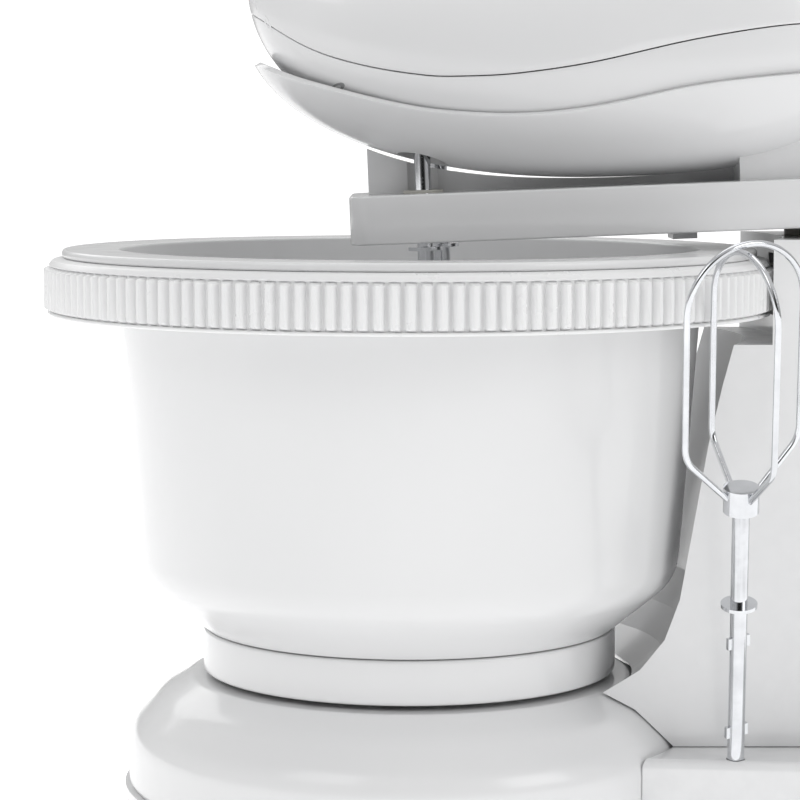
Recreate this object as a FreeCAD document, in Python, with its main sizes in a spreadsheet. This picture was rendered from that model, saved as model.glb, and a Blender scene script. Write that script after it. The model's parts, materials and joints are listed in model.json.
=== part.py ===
import FreeCAD, Part
import math
import os

import Sketcher

# A stand mixer: a geared bowl on a turntable, a column, a tilting arm with a gear
# train, and a hand mixer that sits on the arm.  Millimetres, +Z up.  The nose points
# along -X.  Every piece is drawn about the bowl's axis and then shifted by axis_x, so
# that the middle of the whole object's footprint is the origin.

Vector = FreeCAD.Vector
up = Vector(0, 0, 1)
along = Vector(1, 0, 0)
across = Vector(0, 1, 0)

doc = FreeCAD.newDocument("StandMixer")
sheet = doc.addObject("Spreadsheet::Sheet", "sizes")


class Size:
    """A number that also knows the sheet expression it stands for."""

    def __init__(self, value, text):
        self.value = float(value)
        self.text = text

    def __float__(self):
        return self.value

    def __add__(self, other):
        other = as_size(other)
        return Size(self.value + other.value, f"({self.text} + {other.text})")

    def __sub__(self, other):
        other = as_size(other)
        return Size(self.value - other.value, f"({self.text} - {other.text})")

    def __mul__(self, other):
        other = as_size(other)
        return Size(self.value * other.value, f"({self.text} * {other.text})")

    def __truediv__(self, other):
        other = as_size(other)
        return Size(self.value / other.value, f"({self.text} / {other.text})")

    def __neg__(self):
        return Size(-self.value, f"(-1 * {self.text})")

    __radd__ = __add__
    __rmul__ = __mul__

    def __rsub__(self, other):
        return as_size(other) - self


def as_size(number):
    if isinstance(number, Size):
        return number
    return Size(number, f"({number})")


class Sizes:
    """The driving dimensions: one sheet row each, read back by name."""


d = Sizes()


def driving(**values):
    """Write each value into the sheet under its own alias."""
    for name, value in values.items():
        driving.row += 1
        sheet.set(f"A{driving.row}", name)
        sheet.set(f"B{driving.row}", str(value))
        sheet.setAlias(f"B{driving.row}", name)
        setattr(d, name, Size(value, f"sizes.{name}"))


driving.row = 0

# --- driving dimensions ---------------------------------------------------------------

driving(  # fits
    gap=0.3,
    running=0.06,
    seat_gap=0.02,
)
driving(  # overall
    rear_reach=204,
    wall=2.5,
    rake_angle=2.3,
)
driving(  # base
    foot_height=3.2,
    foot_radius=9,
    foot_spread=60,
    tray_radius=101,
    tray_top=10.3,
    drum_radius=99.5,
    drum_foot=10.32,
    drum_shoulder=30,
    drum_slope_radius=88,
    drum_slope_top=42.5,
    drum_top=48.5,
    drum_top_radius=77.5,
    block_front=60,
    block_half=61,
    block_flare=15,
    block_top=30,
)
driving(  # turntable and bowl
    pivot_radius=7,
    table_radius=73,
    table_bottom=50.3,
    table_top=65.4,
    bowl_bottom=54,
    bowl_foot_radius=69.5,
    bowl_shoulder_radius=94.6,
    bowl_shoulder=84,
    bowl_top_radius=103,
    bowl_wall=2.4,
    flange_bottom=195.6,
    flange_top=198.4,
    flange_radius=121,
    ring_teeth=160,
    ring_module=1.575,
    ring_bottom=177,
    ring_top=193,
    ring_wall=4.2,
)
driving(  # column
    column_half=44,
    column_rear=192,
    column_wall=3,
    column_top=202.6,
    column_corner=22,
    ledge=167.4,
    notch_radius=129.4,
)
driving(  # drive pinion
    pinion_teeth=16,
    pinion_shaft=4,
    pinion_bottom=158,
    dog_width=3,
    dog_length=15,
    dog_height=3.4,
)
driving(  # arm, level
    hinge_x=178,
    hinge_z=216.3,
    hinge_pin=3,
    arm_nose=-20.5,
    arm_half=35,
    arm_neck=158,
    arm_neck_half=30.3,
    arm_bottom=208,
    arm_height=16.6,
    arm_corner=16,
    barrel_radius=8.2,
    ear_width=10,
    ear_radius=10,
)
driving(  # gear train
    train_module=1.25,
    bush_teeth=14,
    first_teeth=24,
    idler_teeth=30,
    output_teeth=33,
    train_bottom=212,
    train_width=6,
    axle_radius=2.5,
)
driving(  # beaters
    beater_x=5,
    beater_stagger=6,
    beater_side=12.4,
    beater_radius=2.85,
    beater_top=268.5,
    beater_shaft=101,
    beater_flange=62.5,
    beater_total=188,
    loop_half=22.2,
    inner_loop_half=19.8,
    wire_radius=1.05,
    hub_radius=5.8,
    lug_half=4.1,
    lug_width=1.4,
)
driving(  # spare beater
    spare_x=108.8,
    spare_y=-61,
    spare_lean=16.5,
    spare_sway=1.6,
    spare_turn=25,
    socket_depth=6,
)
driving(  # head
    head_nose=-47.5,
    head_tail=154,
    head_wall=2.5,
    hull_proud=3,
    worm_height=283,
    worm_radius=3.4,
    wheel_teeth=20,
    wheel_width=7,
    spindle_radius=5.2,
    handle_top=350,
    handle_half=13.5,
)


def bind(thing, prop, size):
    """Tie one property of an object to the sheet."""
    size = as_size(size)
    thing.setExpression(prop, size.text)


def place(thing, x=0, y=0, z=0):
    """Tie an object's place to the sheet."""
    for letter, size in (("x", x), ("y", y), ("z", z)):
        bind(thing, f".Placement.Base.{letter}", size)


# --- sketch based features ------------------------------------------------------------


def new_body(name):
    body = doc.addObject("PartDesign::Body", name)
    body.Label = name
    return body


def new_sketch(body, role, offset=0):
    """A sketch on one of the body's own origin planes, moved along its normal."""
    sketch = body.newObject("Sketcher::SketchObject", f"{body.Name}_sketch")
    plane = next(f for f in body.Origin.OriginFeatures if f.Role == role)
    sketch.AttachmentSupport = [(plane, "")]
    sketch.MapMode = "FlatFace"
    bind(sketch, ".AttachmentOffset.Base.z", offset)
    return sketch


def draw_outline(sketch, corners):
    """A closed outline whose corners are tied to the sheet."""
    count = len(corners)
    spots = [Vector(float(u), float(v), 0) for u, v in corners]
    for i in range(count):
        sketch.addGeometry(Part.LineSegment(spots[i], spots[(i + 1) % count]), False)
    for i in range(count):
        sketch.addConstraint(Sketcher.Constraint("Coincident", i, 2, (i + 1) % count, 1))
    for i, (u, v) in enumerate(corners):
        for kind, size in (("DistanceX", u), ("DistanceY", v)):
            rule = Sketcher.Constraint(kind, -1, 1, i, 1, float(size))
            number = sketch.addConstraint(rule)
            bind(sketch, f"Constraints[{number}]", size)


def draw_circle(sketch, u, v, radius):
    spot = Vector(float(u), float(v), 0)
    index = sketch.addGeometry(Part.Circle(spot, up, float(radius)), False)
    rules = (
        (Sketcher.Constraint("Radius", index, float(radius)), radius),
        (Sketcher.Constraint("DistanceX", -1, 1, index, 3, float(u)), u),
        (Sketcher.Constraint("DistanceY", -1, 1, index, 3, float(v)), v),
    )
    for rule, size in rules:
        number = sketch.addConstraint(rule)
        bind(sketch, f"Constraints[{number}]", size)


def add_feature(body, kind, sketch, length=None, **settings):
    """A pad, pocket, revolution or groove; a cut has to take something away."""
    before = body.Shape.Volume if not body.Shape.isNull() else 0
    feature = body.newObject(f"PartDesign::{kind}", f"{body.Name}_{kind.lower()}")
    feature.Profile = sketch
    for name, value in settings.items():
        setattr(feature, name, value)
    if length is not None:
        bind(feature, "Length", length)
    if kind in ("Revolution", "Groove"):
        feature.ReferenceAxis = (sketch, ["V_Axis"])
        feature.Angle = 360
    doc.recompute()
    if kind in ("Pocket", "Groove") and body.Shape.Volume >= before - 0.001:
        raise RuntimeError(f"{feature.Name} cuts nothing")
    return feature


def turned(name, profile):
    """A body turned about the Z axis."""
    body = new_body(name)
    sketch = new_sketch(body, "XZ_Plane")
    draw_outline(sketch, profile)
    add_feature(body, "Revolution", sketch)
    return body


def pad_outline(body, corners, bottom, height):
    sketch = new_sketch(body, "XY_Plane", bottom)
    draw_outline(sketch, corners)
    add_feature(body, "Pad", sketch, height)


def pocket_outline(body, corners, bottom, height):
    sketch = new_sketch(body, "XY_Plane", bottom)
    draw_outline(sketch, corners)
    add_feature(body, "Pocket", sketch, height, Reversed=True)


def pad_round(body, x, y, radius, bottom, height):
    sketch = new_sketch(body, "XY_Plane", bottom)
    draw_circle(sketch, x, y, radius)
    add_feature(body, "Pad", sketch, height)


def pocket_round(body, x, y, radius, bottom, height):
    sketch = new_sketch(body, "XY_Plane", bottom)
    draw_circle(sketch, x, y, radius)
    add_feature(body, "Pocket", sketch, height, Reversed=True)


def side_round(body, kind, x, z, radius, width):
    """A disc added or a hole cut across the body, even about y = 0."""
    sketch = new_sketch(body, "XZ_Plane")
    draw_circle(sketch, x, z, radius)
    add_feature(body, kind, sketch, width, Midplane=True)


def fillet(body, radius, chosen):
    """Round the edges of the body's last shape that the test picks."""
    tip = body.Tip
    names = [f"Edge{i + 1}" for i, edge in enumerate(tip.Shape.Edges) if chosen(edge)]
    if not names:
        raise RuntimeError(f"{body.Name} has no edge to round")
    feature = body.newObject("PartDesign::Fillet", f"{body.Name}_fillet")
    feature.Base = (tip, names)
    bind(feature, "Radius", radius)
    doc.recompute()


def hoop(radius, height):
    """A test for the level circular edge of this radius and height."""

    def chosen(edge):
        curve = edge.Curve
        if not isinstance(curve, Part.Circle):
            return False
        same_radius = abs(curve.Radius - float(radius)) < 0.01
        return same_radius and abs(curve.Center.z - float(height)) < 0.01

    return chosen


def upright(x, y):
    """A test for the vertical straight edge at this place, on either side."""

    def chosen(edge):
        if not isinstance(edge.Curve, Part.Line):
            return False
        middle = edge.CenterOfMass
        vertical = abs(edge.tangentAt(edge.FirstParameter).z) > 0.99
        near_x = abs(middle.x - float(x)) < 0.01
        return vertical and near_x and abs(abs(middle.y) - float(y)) < 0.01

    return chosen


# --- primitives and booleans ----------------------------------------------------------


def cylinder(name, radius, height, x=0, y=0, z=0):
    thing = doc.addObject("Part::Cylinder", name)
    bind(thing, "Radius", radius)
    bind(thing, "Height", height)
    place(thing, x, y, z)
    return thing


def side_cylinder(name, radius, width, x, z):
    """A cylinder along Y, even about y = 0."""
    thing = doc.addObject("Part::Cylinder", name)
    bind(thing, "Radius", radius)
    bind(thing, "Height", width)
    thing.Placement.Rotation = FreeCAD.Rotation(along, -90)
    place(thing, x, -as_size(width) / 2, z)
    return thing


def inward_cylinder(name, radius, depth, x, y, z):
    """A cylinder that starts on the near side and runs along +Y."""
    thing = doc.addObject("Part::Cylinder", name)
    bind(thing, "Radius", radius)
    bind(thing, "Height", depth)
    thing.Placement.Rotation = FreeCAD.Rotation(along, -90)
    place(thing, x, y, z)
    return thing


def block(name, length, width, height, x, y, z):
    """A box whose place is the middle of its bottom face."""
    thing = doc.addObject("Part::Box", name)
    bind(thing, "Length", length)
    bind(thing, "Width", width)
    bind(thing, "Height", height)
    place(thing, as_size(x) - as_size(length) / 2, as_size(y) - as_size(width) / 2, z)
    return thing


def cut(name, base, tool):
    thing = doc.addObject("Part::Cut", name)
    thing.Base = base
    thing.Tool = tool
    return thing


def joined(name, parts):
    thing = doc.addObject("Part::MultiFuse", name)
    thing.Shapes = parts
    return thing


def group(name, parts):
    """Several separate solids of one kind under one name."""
    thing = doc.addObject("Part::Compound", name)
    thing.Links = parts
    return thing


def tube(name, outer, inner, height, x=0, y=0, z=0):
    bore = cylinder(f"{name}_bore", inner, as_size(height) + 2, x, y, as_size(z) - 1)
    return cut(name, cylinder(f"{name}_blank", outer, height, x, y, z), bore)


def shaped(name, shape):
    """A piece whose shape comes from Part's own functions."""
    thing = doc.addObject("Part::Feature", name)
    thing.Shape = shape
    return thing


doc.recompute()

# --- where things are -----------------------------------------------------------------

ring_pitch = d.ring_module * d.ring_teeth / 2
ring_outer = ring_pitch + d.ring_module * 0.9
pinion_pitch = d.ring_module * d.pinion_teeth / 2
axis_x = (ring_outer - d.rear_reach) / 2
pinion_x = ring_pitch + pinion_pitch + 0.1
arm_top = d.arm_bottom + d.arm_height
near_x = d.beater_x
far_x = d.beater_x + d.beater_stagger
near_y = -d.beater_side
far_y = d.beater_side
bore_radius = d.beater_radius + d.gap
far_phase = 45.0
latch_x = 158

shift = FreeCAD.Placement(Vector(float(axis_x), 0, 0), FreeCAD.Rotation())
hinge_spot = Vector(float(d.hinge_x), 0, float(d.hinge_z))
rake = FreeCAD.Placement(
    Vector(0, 0, 0), FreeCAD.Rotation(across, -float(d.rake_angle)), hinge_spot
)
raked = shift.multiply(rake)

parts = []


def keep(thing, node, placement=shift):
    """Name a finished piece and put it in its place."""
    thing.Label = node
    thing.Placement = placement.multiply(thing.Placement)
    parts.append(thing)
    return thing


# --- gears ----------------------------------------------------------------------------


def gear_face(teeth, module, turn=0.0, share=0.44, tip=0.9, root=1.2, slope=20.0):
    """The flat outline of a straight toothed gear; turn is one tooth's angle."""
    pitch_radius = teeth * module / 2
    half = math.pi * module * share / 2
    lean = math.tan(math.radians(slope)) * module
    spots = []
    for i in range(int(teeth)):
        middle = turn + 2 * math.pi * i / teeth
        for radius, side in (
            (pitch_radius - root * module, -(half + root * lean)),
            (pitch_radius + tip * module, -(half - tip * lean)),
            (pitch_radius + tip * module, half - tip * lean),
            (pitch_radius - root * module, half + root * lean),
        ):
            angle = middle + side / pitch_radius
            spots.append(Vector(radius * math.cos(angle), radius * math.sin(angle), 0))
    spots.append(spots[0])
    return Part.Face(Part.makePolygon(spots))


def gear(teeth, module, width, turn=0.0, **shape):
    return gear_face(teeth, module, turn, **shape).extrude(Vector(0, 0, width))


def meshing_turn(first_teeth, first_turn, second_teeth, direction):
    """The turn that puts the second gear's gap over the first gear's tooth."""
    first_share = (direction - first_turn) * first_teeth / (2 * math.pi)
    second_share = (0.5 - first_share) % 1.0
    return direction + math.pi - second_share * 2 * math.pi / second_teeth


def disc(radius, height, x=0.0, y=0.0, z=0.0):
    return Part.makeCylinder(float(radius), float(height), Vector(float(x), float(y), float(z)))


def plain_box(low, high):
    low = Vector(*[float(v) for v in low])
    high = Vector(*[float(v) for v in high])
    size = high - low
    return Part.makeBox(size.x, size.y, size.z, low)


# --- base -----------------------------------------------------------------------------

block_near = d.block_half
block_far = d.block_half + d.block_flare


def base_plan(front, inset, reach):
    """The rear block's flared plan."""
    return [
        (front, -(block_near - inset)),
        (reach, -(block_far - inset)),
        (reach, block_far - inset),
        (front, block_near - inset),
    ]


def make_bottom_tray():
    body = new_body("base_bottom_tray")
    floor = d.foot_height - 0.2
    height = d.tray_top - floor
    pad_round(body, 0, 0, d.tray_radius, floor, height)
    pad_outline(body, base_plan(d.block_front, 0, d.rear_reach), floor, height)
    fillet(body, 9, upright(d.rear_reach, block_far))
    inner = d.tray_radius - d.wall
    pocket_round(body, 0, 0, inner, floor + d.wall, height)
    pocket_outline(
        body,
        base_plan(d.block_front, d.wall + 3, d.rear_reach - d.wall - 3),
        floor + d.wall,
        height,
    )
    for x, y in foot_places():
        pocket_round(body, x, y, 3.2, floor - 1, d.wall + 3)
    keep(body, "base_bottom_tray")


def foot_places():
    rear = d.rear_reach - 20
    return [
        (-d.foot_spread, -d.foot_spread),
        (-d.foot_spread, d.foot_spread),
        (rear, -d.foot_spread),
        (rear, d.foot_spread),
    ]


def make_feet():
    feet = []
    for i, (x, y) in enumerate(foot_places()):
        pad = cylinder(f"foot_pad_{i}", d.foot_radius, d.foot_height - 0.2, x, y, 0)
        stem = cylinder(f"foot_stem_{i}", 3.1, d.wall + 2, x, y, d.foot_height - 1.2)
        feet.append(joined(f"foot_{i}", [pad, stem]))
    keep(group("rubber_feet", feet), "rubber_feet")


def make_drum():
    inner = d.drum_radius - d.wall
    hole = d.pivot_radius + 8
    body = turned(
        "base_drum_shell",
        [
            (hole, d.drum_top - d.wall),
            (d.drum_top_radius - 2, d.drum_top - d.wall),
            (d.drum_slope_radius - d.wall, d.drum_slope_top - d.wall),
            (inner, d.drum_shoulder - d.wall),
            (inner, d.drum_foot),
            (d.drum_radius, d.drum_foot),
            (d.drum_radius, d.drum_shoulder),
            (d.drum_slope_radius, d.drum_slope_top),
            (d.drum_top_radius, d.drum_top),
            (hole, d.drum_top),
        ],
    )
    fillet(body, 5, hoop(d.drum_radius, d.drum_shoulder))
    fillet(body, 20, hoop(d.drum_slope_radius, d.drum_slope_top))
    keep(body, "base_drum_shell")


def make_rear_shell():
    body = new_body("base_rear_block")
    height = d.block_top - d.drum_foot
    pad_outline(body, base_plan(d.block_front, 0, d.rear_reach), d.drum_foot, height)
    fillet(body, 9, upright(d.rear_reach, block_far))
    fillet(body, 3, lambda edge: abs(edge.CenterOfMass.z - float(d.block_top)) < 0.01)
    pocket_outline(
        body,
        base_plan(d.block_front - 5, d.wall + 3, d.rear_reach - d.wall - 3),
        d.drum_foot - 1,
        height + 1 - d.wall,
    )
    pocket_outline(
        body,
        [
            (d.block_front - 5, -(d.column_half - 8)),
            (d.column_rear - 8, -(d.column_half - 8)),
            (d.column_rear - 8, d.column_half - 8),
            (d.block_front - 5, d.column_half - 8),
        ],
        d.block_top - d.wall - 2,
        d.wall + 4,
    )
    pocket_round(body, 0, 0, d.drum_radius + d.gap, d.drum_foot - 1, height + 2)
    socket = spare_solid("socket_drill", d.beater_radius + 0.25, d.socket_depth, 6)
    boss = spare_solid("socket_boss", d.beater_radius + 2.4, d.socket_depth + 2, -1.5)
    whole = joined("base_rear_with_boss", [body, boss])
    keep(cut("base_rear_shell_drilled", whole, socket), "base_rear_shell")


def spare_solid(name, radius, below, above):
    """A cylinder on the spare beater's axis, from below to above the foot."""
    thing = doc.addObject("Part::Cylinder", name)
    bind(thing, "Radius", radius)
    bind(thing, "Height", as_size(below) + above)
    thing.Placement = spare_place.multiply(
        FreeCAD.Placement(Vector(0, 0, -float(below)), FreeCAD.Rotation())
    )
    return thing


def make_base_screws():
    spots = [(-70, 0), (0, -80), (0, 80), (d.rear_reach - 20, 0)]
    screws = []
    for i, (x, y) in enumerate(spots):
        screws.append(cylinder(f"base_screw_{i}", 3.5, 1.6, x, y, d.foot_height + d.wall))
    keep(group("base_screws", screws), "base_screws")


def make_pivot():
    bottom = d.foot_height - 0.2 + d.wall
    body = turned(
        "turntable_pivot",
        [
            (0, bottom),
            (14, bottom),
            (14, bottom + 3),
            (d.pivot_radius + 3, bottom + 3),
            (d.pivot_radius + 3, d.table_bottom - 4),
            (d.pivot_radius, d.table_bottom - 4),
            (d.pivot_radius, d.table_bottom + 0.8),
            (0, d.table_bottom + 0.8),
        ],
    )
    keep(body, "turntable_pivot")


# --- turntable, bowl and gear ring ----------------------------------------------------


def make_turntable():
    """A shallow cup: it stands on the pivot and the bowl's foot drops into it."""
    floor_top = d.bowl_bottom - d.seat_gap
    hub = d.pivot_radius + 2.6
    body = turned(
        "turntable",
        [
            (d.pivot_radius + d.running, d.table_bottom - 3.6),
            (hub, d.table_bottom - 3.6),
            (hub, d.table_bottom + 1),
            (d.table_radius - d.wall, d.table_bottom + 1),
            (d.table_radius - d.wall, d.table_bottom),
            (d.table_radius, d.table_bottom),
            (d.table_radius, d.table_top),
            (d.bowl_foot_radius + d.gap, d.table_top),
            (d.bowl_foot_radius + d.gap, floor_top),
            (0, floor_top),
            (0, d.table_bottom + 1),
            (d.pivot_radius + d.running, d.table_bottom + 1),
        ],
    )
    fillet(body, 1, hoop(d.table_radius, d.table_top))
    keep(body, "turntable")


def make_bowl():
    t = d.bowl_wall
    foot = d.bowl_foot_radius
    top = d.bowl_top_radius
    body = turned(
        "bowl",
        [
            (0, d.bowl_bottom),
            (foot, d.bowl_bottom),
            (foot, d.table_top + 0.4),
            (d.table_radius - 0.5, d.table_top + 0.4),
            (d.bowl_shoulder_radius, d.bowl_shoulder),
            (top, d.flange_bottom),
            (d.flange_radius, d.flange_bottom),
            (d.flange_radius, d.flange_top),
            (top - t, d.flange_top),
            (d.bowl_shoulder_radius - t, d.bowl_shoulder + 1),
            (foot - t, d.table_top + 2.4),
            (foot - t, d.bowl_bottom + t),
            (0, d.bowl_bottom + t),
        ],
    )
    fillet(body, 16, hoop(d.bowl_shoulder_radius, d.bowl_shoulder))
    fillet(body, 13, hoop(d.bowl_shoulder_radius - t, d.bowl_shoulder + 1))
    fillet(body, 1, hoop(top - t, d.flange_top))
    fillet(body, 1.2, hoop(d.flange_radius, d.flange_top))
    fillet(body, 4, hoop(foot - t, d.bowl_bottom + t))
    keep(body, "bowl")


def bowl_outer_at(height):
    """The bowl's outer radius at a height on its side wall."""
    rise = (height - d.bowl_shoulder) / (d.flange_bottom - d.bowl_shoulder)
    return d.bowl_shoulder_radius + (d.bowl_top_radius - d.bowl_shoulder_radius) * rise


def make_gear_ring():
    """A toothed hoop with a web that sits on the bowl under its flange."""
    teeth = gear(
        float(d.ring_teeth),
        float(d.ring_module),
        float(d.ring_top - d.ring_bottom),
        share=0.52,
        tip=0.9,
        root=0.9,
        slope=12.0,
    )
    teeth.translate(Vector(0, 0, float(d.ring_bottom)))
    root = float(ring_pitch - d.ring_module * 0.8)
    inner = root - float(d.ring_wall)
    seat = float(bowl_outer_at(d.flange_bottom) + 0.1)
    bottom = float(d.ring_bottom)
    top = float(d.ring_top)
    under = float(d.flange_bottom - d.seat_gap)
    teeth = teeth.cut(disc(inner, top - bottom + 2, z=bottom - 1))
    lip = 0.8
    outline = [
        (inner, bottom - lip),
        (root + 1.2, bottom - lip),
        (root + 1.2, bottom),
        (root - 0.2, bottom),
        (root - 0.2, top),
        (root + 1.2, top),
        (root - 1.5, under - 0.4),
        (seat, under - 0.4),
        (seat, top - 2.2),
        (inner, top - 2.2),
    ]
    spots = [Vector(r, 0, z) for r, z in outline]
    face = Part.Face(Part.makePolygon(spots + spots[:1]))
    hoop_body = face.revolve(Vector(0, 0, 0), up, 360)
    keep(shaped("gear_ring", teeth.fuse(hoop_body).removeSplitter()), "gear_ring")


def make_turntable_bush():
    bush = tube(
        "turntable_bush",
        d.pivot_radius + 7,
        d.pivot_radius + 3.2,
        1.6,
        0,
        0,
        d.drum_top - d.wall - 1.8,
    )
    keep(bush, "turntable_bush")


# --- column ---------------------------------------------------------------------------


def column_face():
    """The hollow front of the column as radii about the bowl's axis, going up."""
    return [
        (d.drum_top_radius + 1.5, d.drum_top + 0.4),
        (89.7, 56.7),
        (97, 67),
        (101.5, 80.8),
        (105.9, 108.8),
        (109.9, 134.3),
        (114, 154),
        (117.3, d.ledge),
    ]


def make_column():
    corner = d.column_corner
    half = d.column_half
    front = d.block_front - 5
    rear = d.column_rear
    height = d.column_top - d.block_top - d.gap
    body = new_body("column_blank")
    plan = [(front, -half), (rear, -half), (rear, half), (front, half)]
    pad_outline(body, plan, d.block_top + d.gap, height)
    fillet(body, corner, upright(rear, half))
    ear_out = d.arm_neck_half + 0.7 + d.ear_width
    side_round(body, "Pad", d.hinge_x, d.hinge_z, d.ear_radius, ear_out * 2)
    sketch = new_sketch(body, "XZ_Plane")
    draw_outline(
        sketch,
        [
            (d.hinge_x - d.ear_radius, d.column_top - 4),
            (d.hinge_x + d.ear_radius, d.column_top - 4),
            (d.hinge_x + d.ear_radius, d.hinge_z),
            (d.hinge_x - d.ear_radius, d.hinge_z),
        ],
    )
    add_feature(body, "Pad", sketch, ear_out * 2, Midplane=True)
    slot_half = d.arm_neck_half + 0.7
    slot = [
        (d.hinge_x - d.ear_radius - 1, -slot_half),
        (d.hinge_x + d.ear_radius + 1, -slot_half),
        (d.hinge_x + d.ear_radius + 1, slot_half),
        (d.hinge_x - d.ear_radius - 1, slot_half),
    ]
    pocket_outline(body, slot, d.column_top, 40)
    side_round(body, "Pocket", d.hinge_x, d.hinge_z, d.hinge_pin + d.seat_gap, ear_out * 2 + 2)

    wall = d.column_wall
    inner_plan = [
        (front - 5, -(half - wall)),
        (rear - wall, -(half - wall)),
        (rear - wall, half - wall),
        (front - 5, half - wall),
    ]
    hollow = new_body("column_hollow")
    pad_outline(hollow, inner_plan, d.block_top - 5, d.column_top - wall - d.block_top + 5)
    fillet(hollow, corner - wall, upright(rear - wall, half - wall))
    spare = turned(
        "column_hollow_front",
        [
            (0, 0),
            (104, 0),
            (104, 62),
            (101.5 + wall, 80.8),
            (105.9 + wall, 108.8),
            (109.9 + wall, 134.3),
            (114 + wall, 154),
            (117.3 + wall, d.ledge - wall),
            (d.notch_radius + wall, d.ledge - wall),
            (d.notch_radius + wall, d.column_top + 5),
            (0, d.column_top + 5),
        ],
    )
    core = cut("column_core", hollow, spare)
    scoop = turned(
        "column_scoop",
        [
            (0, 15),
            (d.drum_radius + d.gap, 15),
            (d.drum_radius + d.gap, d.drum_shoulder + 0.5),
            (d.drum_slope_radius + 0.4, d.drum_slope_top + 0.5),
        ]
        + column_face()
        + [
            (d.notch_radius, d.ledge),
            (d.notch_radius, d.column_top + 5),
            (0, d.column_top + 5),
        ],
    )
    slot_box = block(
        "pinion_window",
        26,
        pinion_pitch * 2 + 8,
        d.ring_top - d.ring_bottom + 6,
        d.notch_radius,
        0,
        d.ring_bottom - 3,
    )
    dog_hole = cylinder("dog_hole", d.dog_length / 2 + 1.5, 12, pinion_x, 0, d.column_top - 8)
    button_hole = inward_cylinder("tilt_button_hole", 8.4, 12, 165, -half - 2, 178)
    window = block(
        "rear_window",
        wall * 4,
        cover_half() * 2 + d.gap * 2,
        cover_top() - cover_bottom() + d.gap * 2,
        rear,
        0,
        cover_bottom() - d.gap,
    )
    openings = [core, scoop, slot_box, dog_hole, button_hole, window]
    tools = joined("column_tools", openings)
    keep(cut("column_cut", body, tools), "column_shell")


def cover_half():
    return d.column_half - d.column_corner - 1


def cover_bottom():
    return d.block_top + 16


def cover_top():
    return d.column_top - 14


def make_column_cover():
    """The plate that closes the service window in the column's back."""
    body = new_body("column_back_cover")
    plan = [
        (d.column_rear - d.column_wall, -cover_half()),
        (d.column_rear, -cover_half()),
        (d.column_rear, cover_half()),
        (d.column_rear - d.column_wall, cover_half()),
    ]
    pad_outline(body, plan, cover_bottom(), cover_top() - cover_bottom())
    keep(body, "column_back_cover")


def make_pinion_bracket():
    """A shelf in the column with the pinion shaft's lower bearing."""
    half = d.column_half - d.column_wall - d.gap
    body = new_body("pinion_bracket")
    front = d.notch_radius + d.column_wall - 12
    rear = d.column_rear - d.column_corner
    plan = [(front, -half + 20), (rear, -half), (rear, half), (front, half - 20)]
    pad_outline(body, plan, d.pinion_bottom, 3)
    pad_round(body, pinion_x, 0, 8, d.pinion_bottom, 6)
    pocket_round(body, pinion_x, 0, d.pinion_shaft + d.running, d.pinion_bottom - 1, 10)
    keep(body, "pinion_bracket")


def make_hinge_pin():
    ear_out = d.arm_neck_half + 0.7 + d.ear_width
    pin = side_cylinder("hinge_rod", d.hinge_pin, ear_out * 2, d.hinge_x, d.hinge_z)
    keep(group("hinge_pin", [pin]), "hinge_pin")


def make_tilt_button():
    """A round button on the column's side; it frees the arm."""
    outside = -float(d.column_half) - 2.5
    cap = Part.makeCylinder(8, 7, Vector(165, outside, 178), across)
    stem = Part.makeCylinder(3, 12, Vector(165, outside + 6, 178), across)
    keep(shaped("tilt_button_solid", cap.fuse(stem)), "tilt_release_button")
    spring = coil(5.0, 0.5, 9.0, 5)
    spring.Placement = FreeCAD.Placement(
        Vector(165, outside + 11, 178), FreeCAD.Rotation(along, -90)
    )
    keep(shaped("tilt_button_coil", spring), "tilt_button_spring")


def coil(radius, wire, height, turns):
    """A compression spring standing on z = 0 about the Z axis."""
    path = Part.makeHelix(height / turns, height, radius)
    section = Part.Wire([Part.makeCircle(wire, Vector(radius, 0, 0), across)])
    return Part.Wire(path.Edges).makePipeShell([section], True, True)


# --- drive pinion ---------------------------------------------------------------------

pinion_turn = meshing_turn(float(d.ring_teeth), 0.0, float(d.pinion_teeth), 0.0)


def make_pinion():
    width = float(d.ring_top - d.ring_bottom) - 1
    bottom = float(d.ring_bottom) + 0.5
    wheel = gear(
        float(d.pinion_teeth), float(d.ring_module), width, pinion_turn, share=0.36, tip=0.8
    )
    wheel.translate(Vector(0, 0, bottom))
    shaft_bottom = float(d.pinion_bottom) - 3
    shaft_top = float(d.column_top) - 3
    shaft = disc(d.pinion_shaft, shaft_top - shaft_bottom, z=shaft_bottom)
    hub = disc(d.dog_length / 2, 5, z=shaft_top - 2)
    half_long = float(d.dog_length) / 2 - 0.3
    half_wide = float(d.dog_width) / 2
    dog = plain_box(
        (-half_long, -half_wide, shaft_top + 2),
        (half_long, half_wide, shaft_top + 3 + float(d.dog_height)),
    )
    whole = wheel.fuse([shaft, hub, dog])
    whole.translate(Vector(float(pinion_x), 0, 0))
    keep(shaped("drive_pinion", whole), "drive_pinion")


# --- arm ------------------------------------------------------------------------------


def arm_plan(inset):
    return [
        (d.arm_nose + inset, -(d.arm_half - inset)),
        (d.arm_neck, -(d.arm_half - inset)),
        (d.arm_neck + 5, -(d.arm_neck_half - inset)),
        (d.hinge_x - inset * 4, -(d.arm_neck_half - inset)),
        (d.hinge_x - inset * 4, d.arm_neck_half - inset),
        (d.arm_neck + 5, d.arm_neck_half - inset),
        (d.arm_neck, d.arm_half - inset),
        (d.arm_nose + inset, d.arm_half - inset),
    ]


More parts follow.
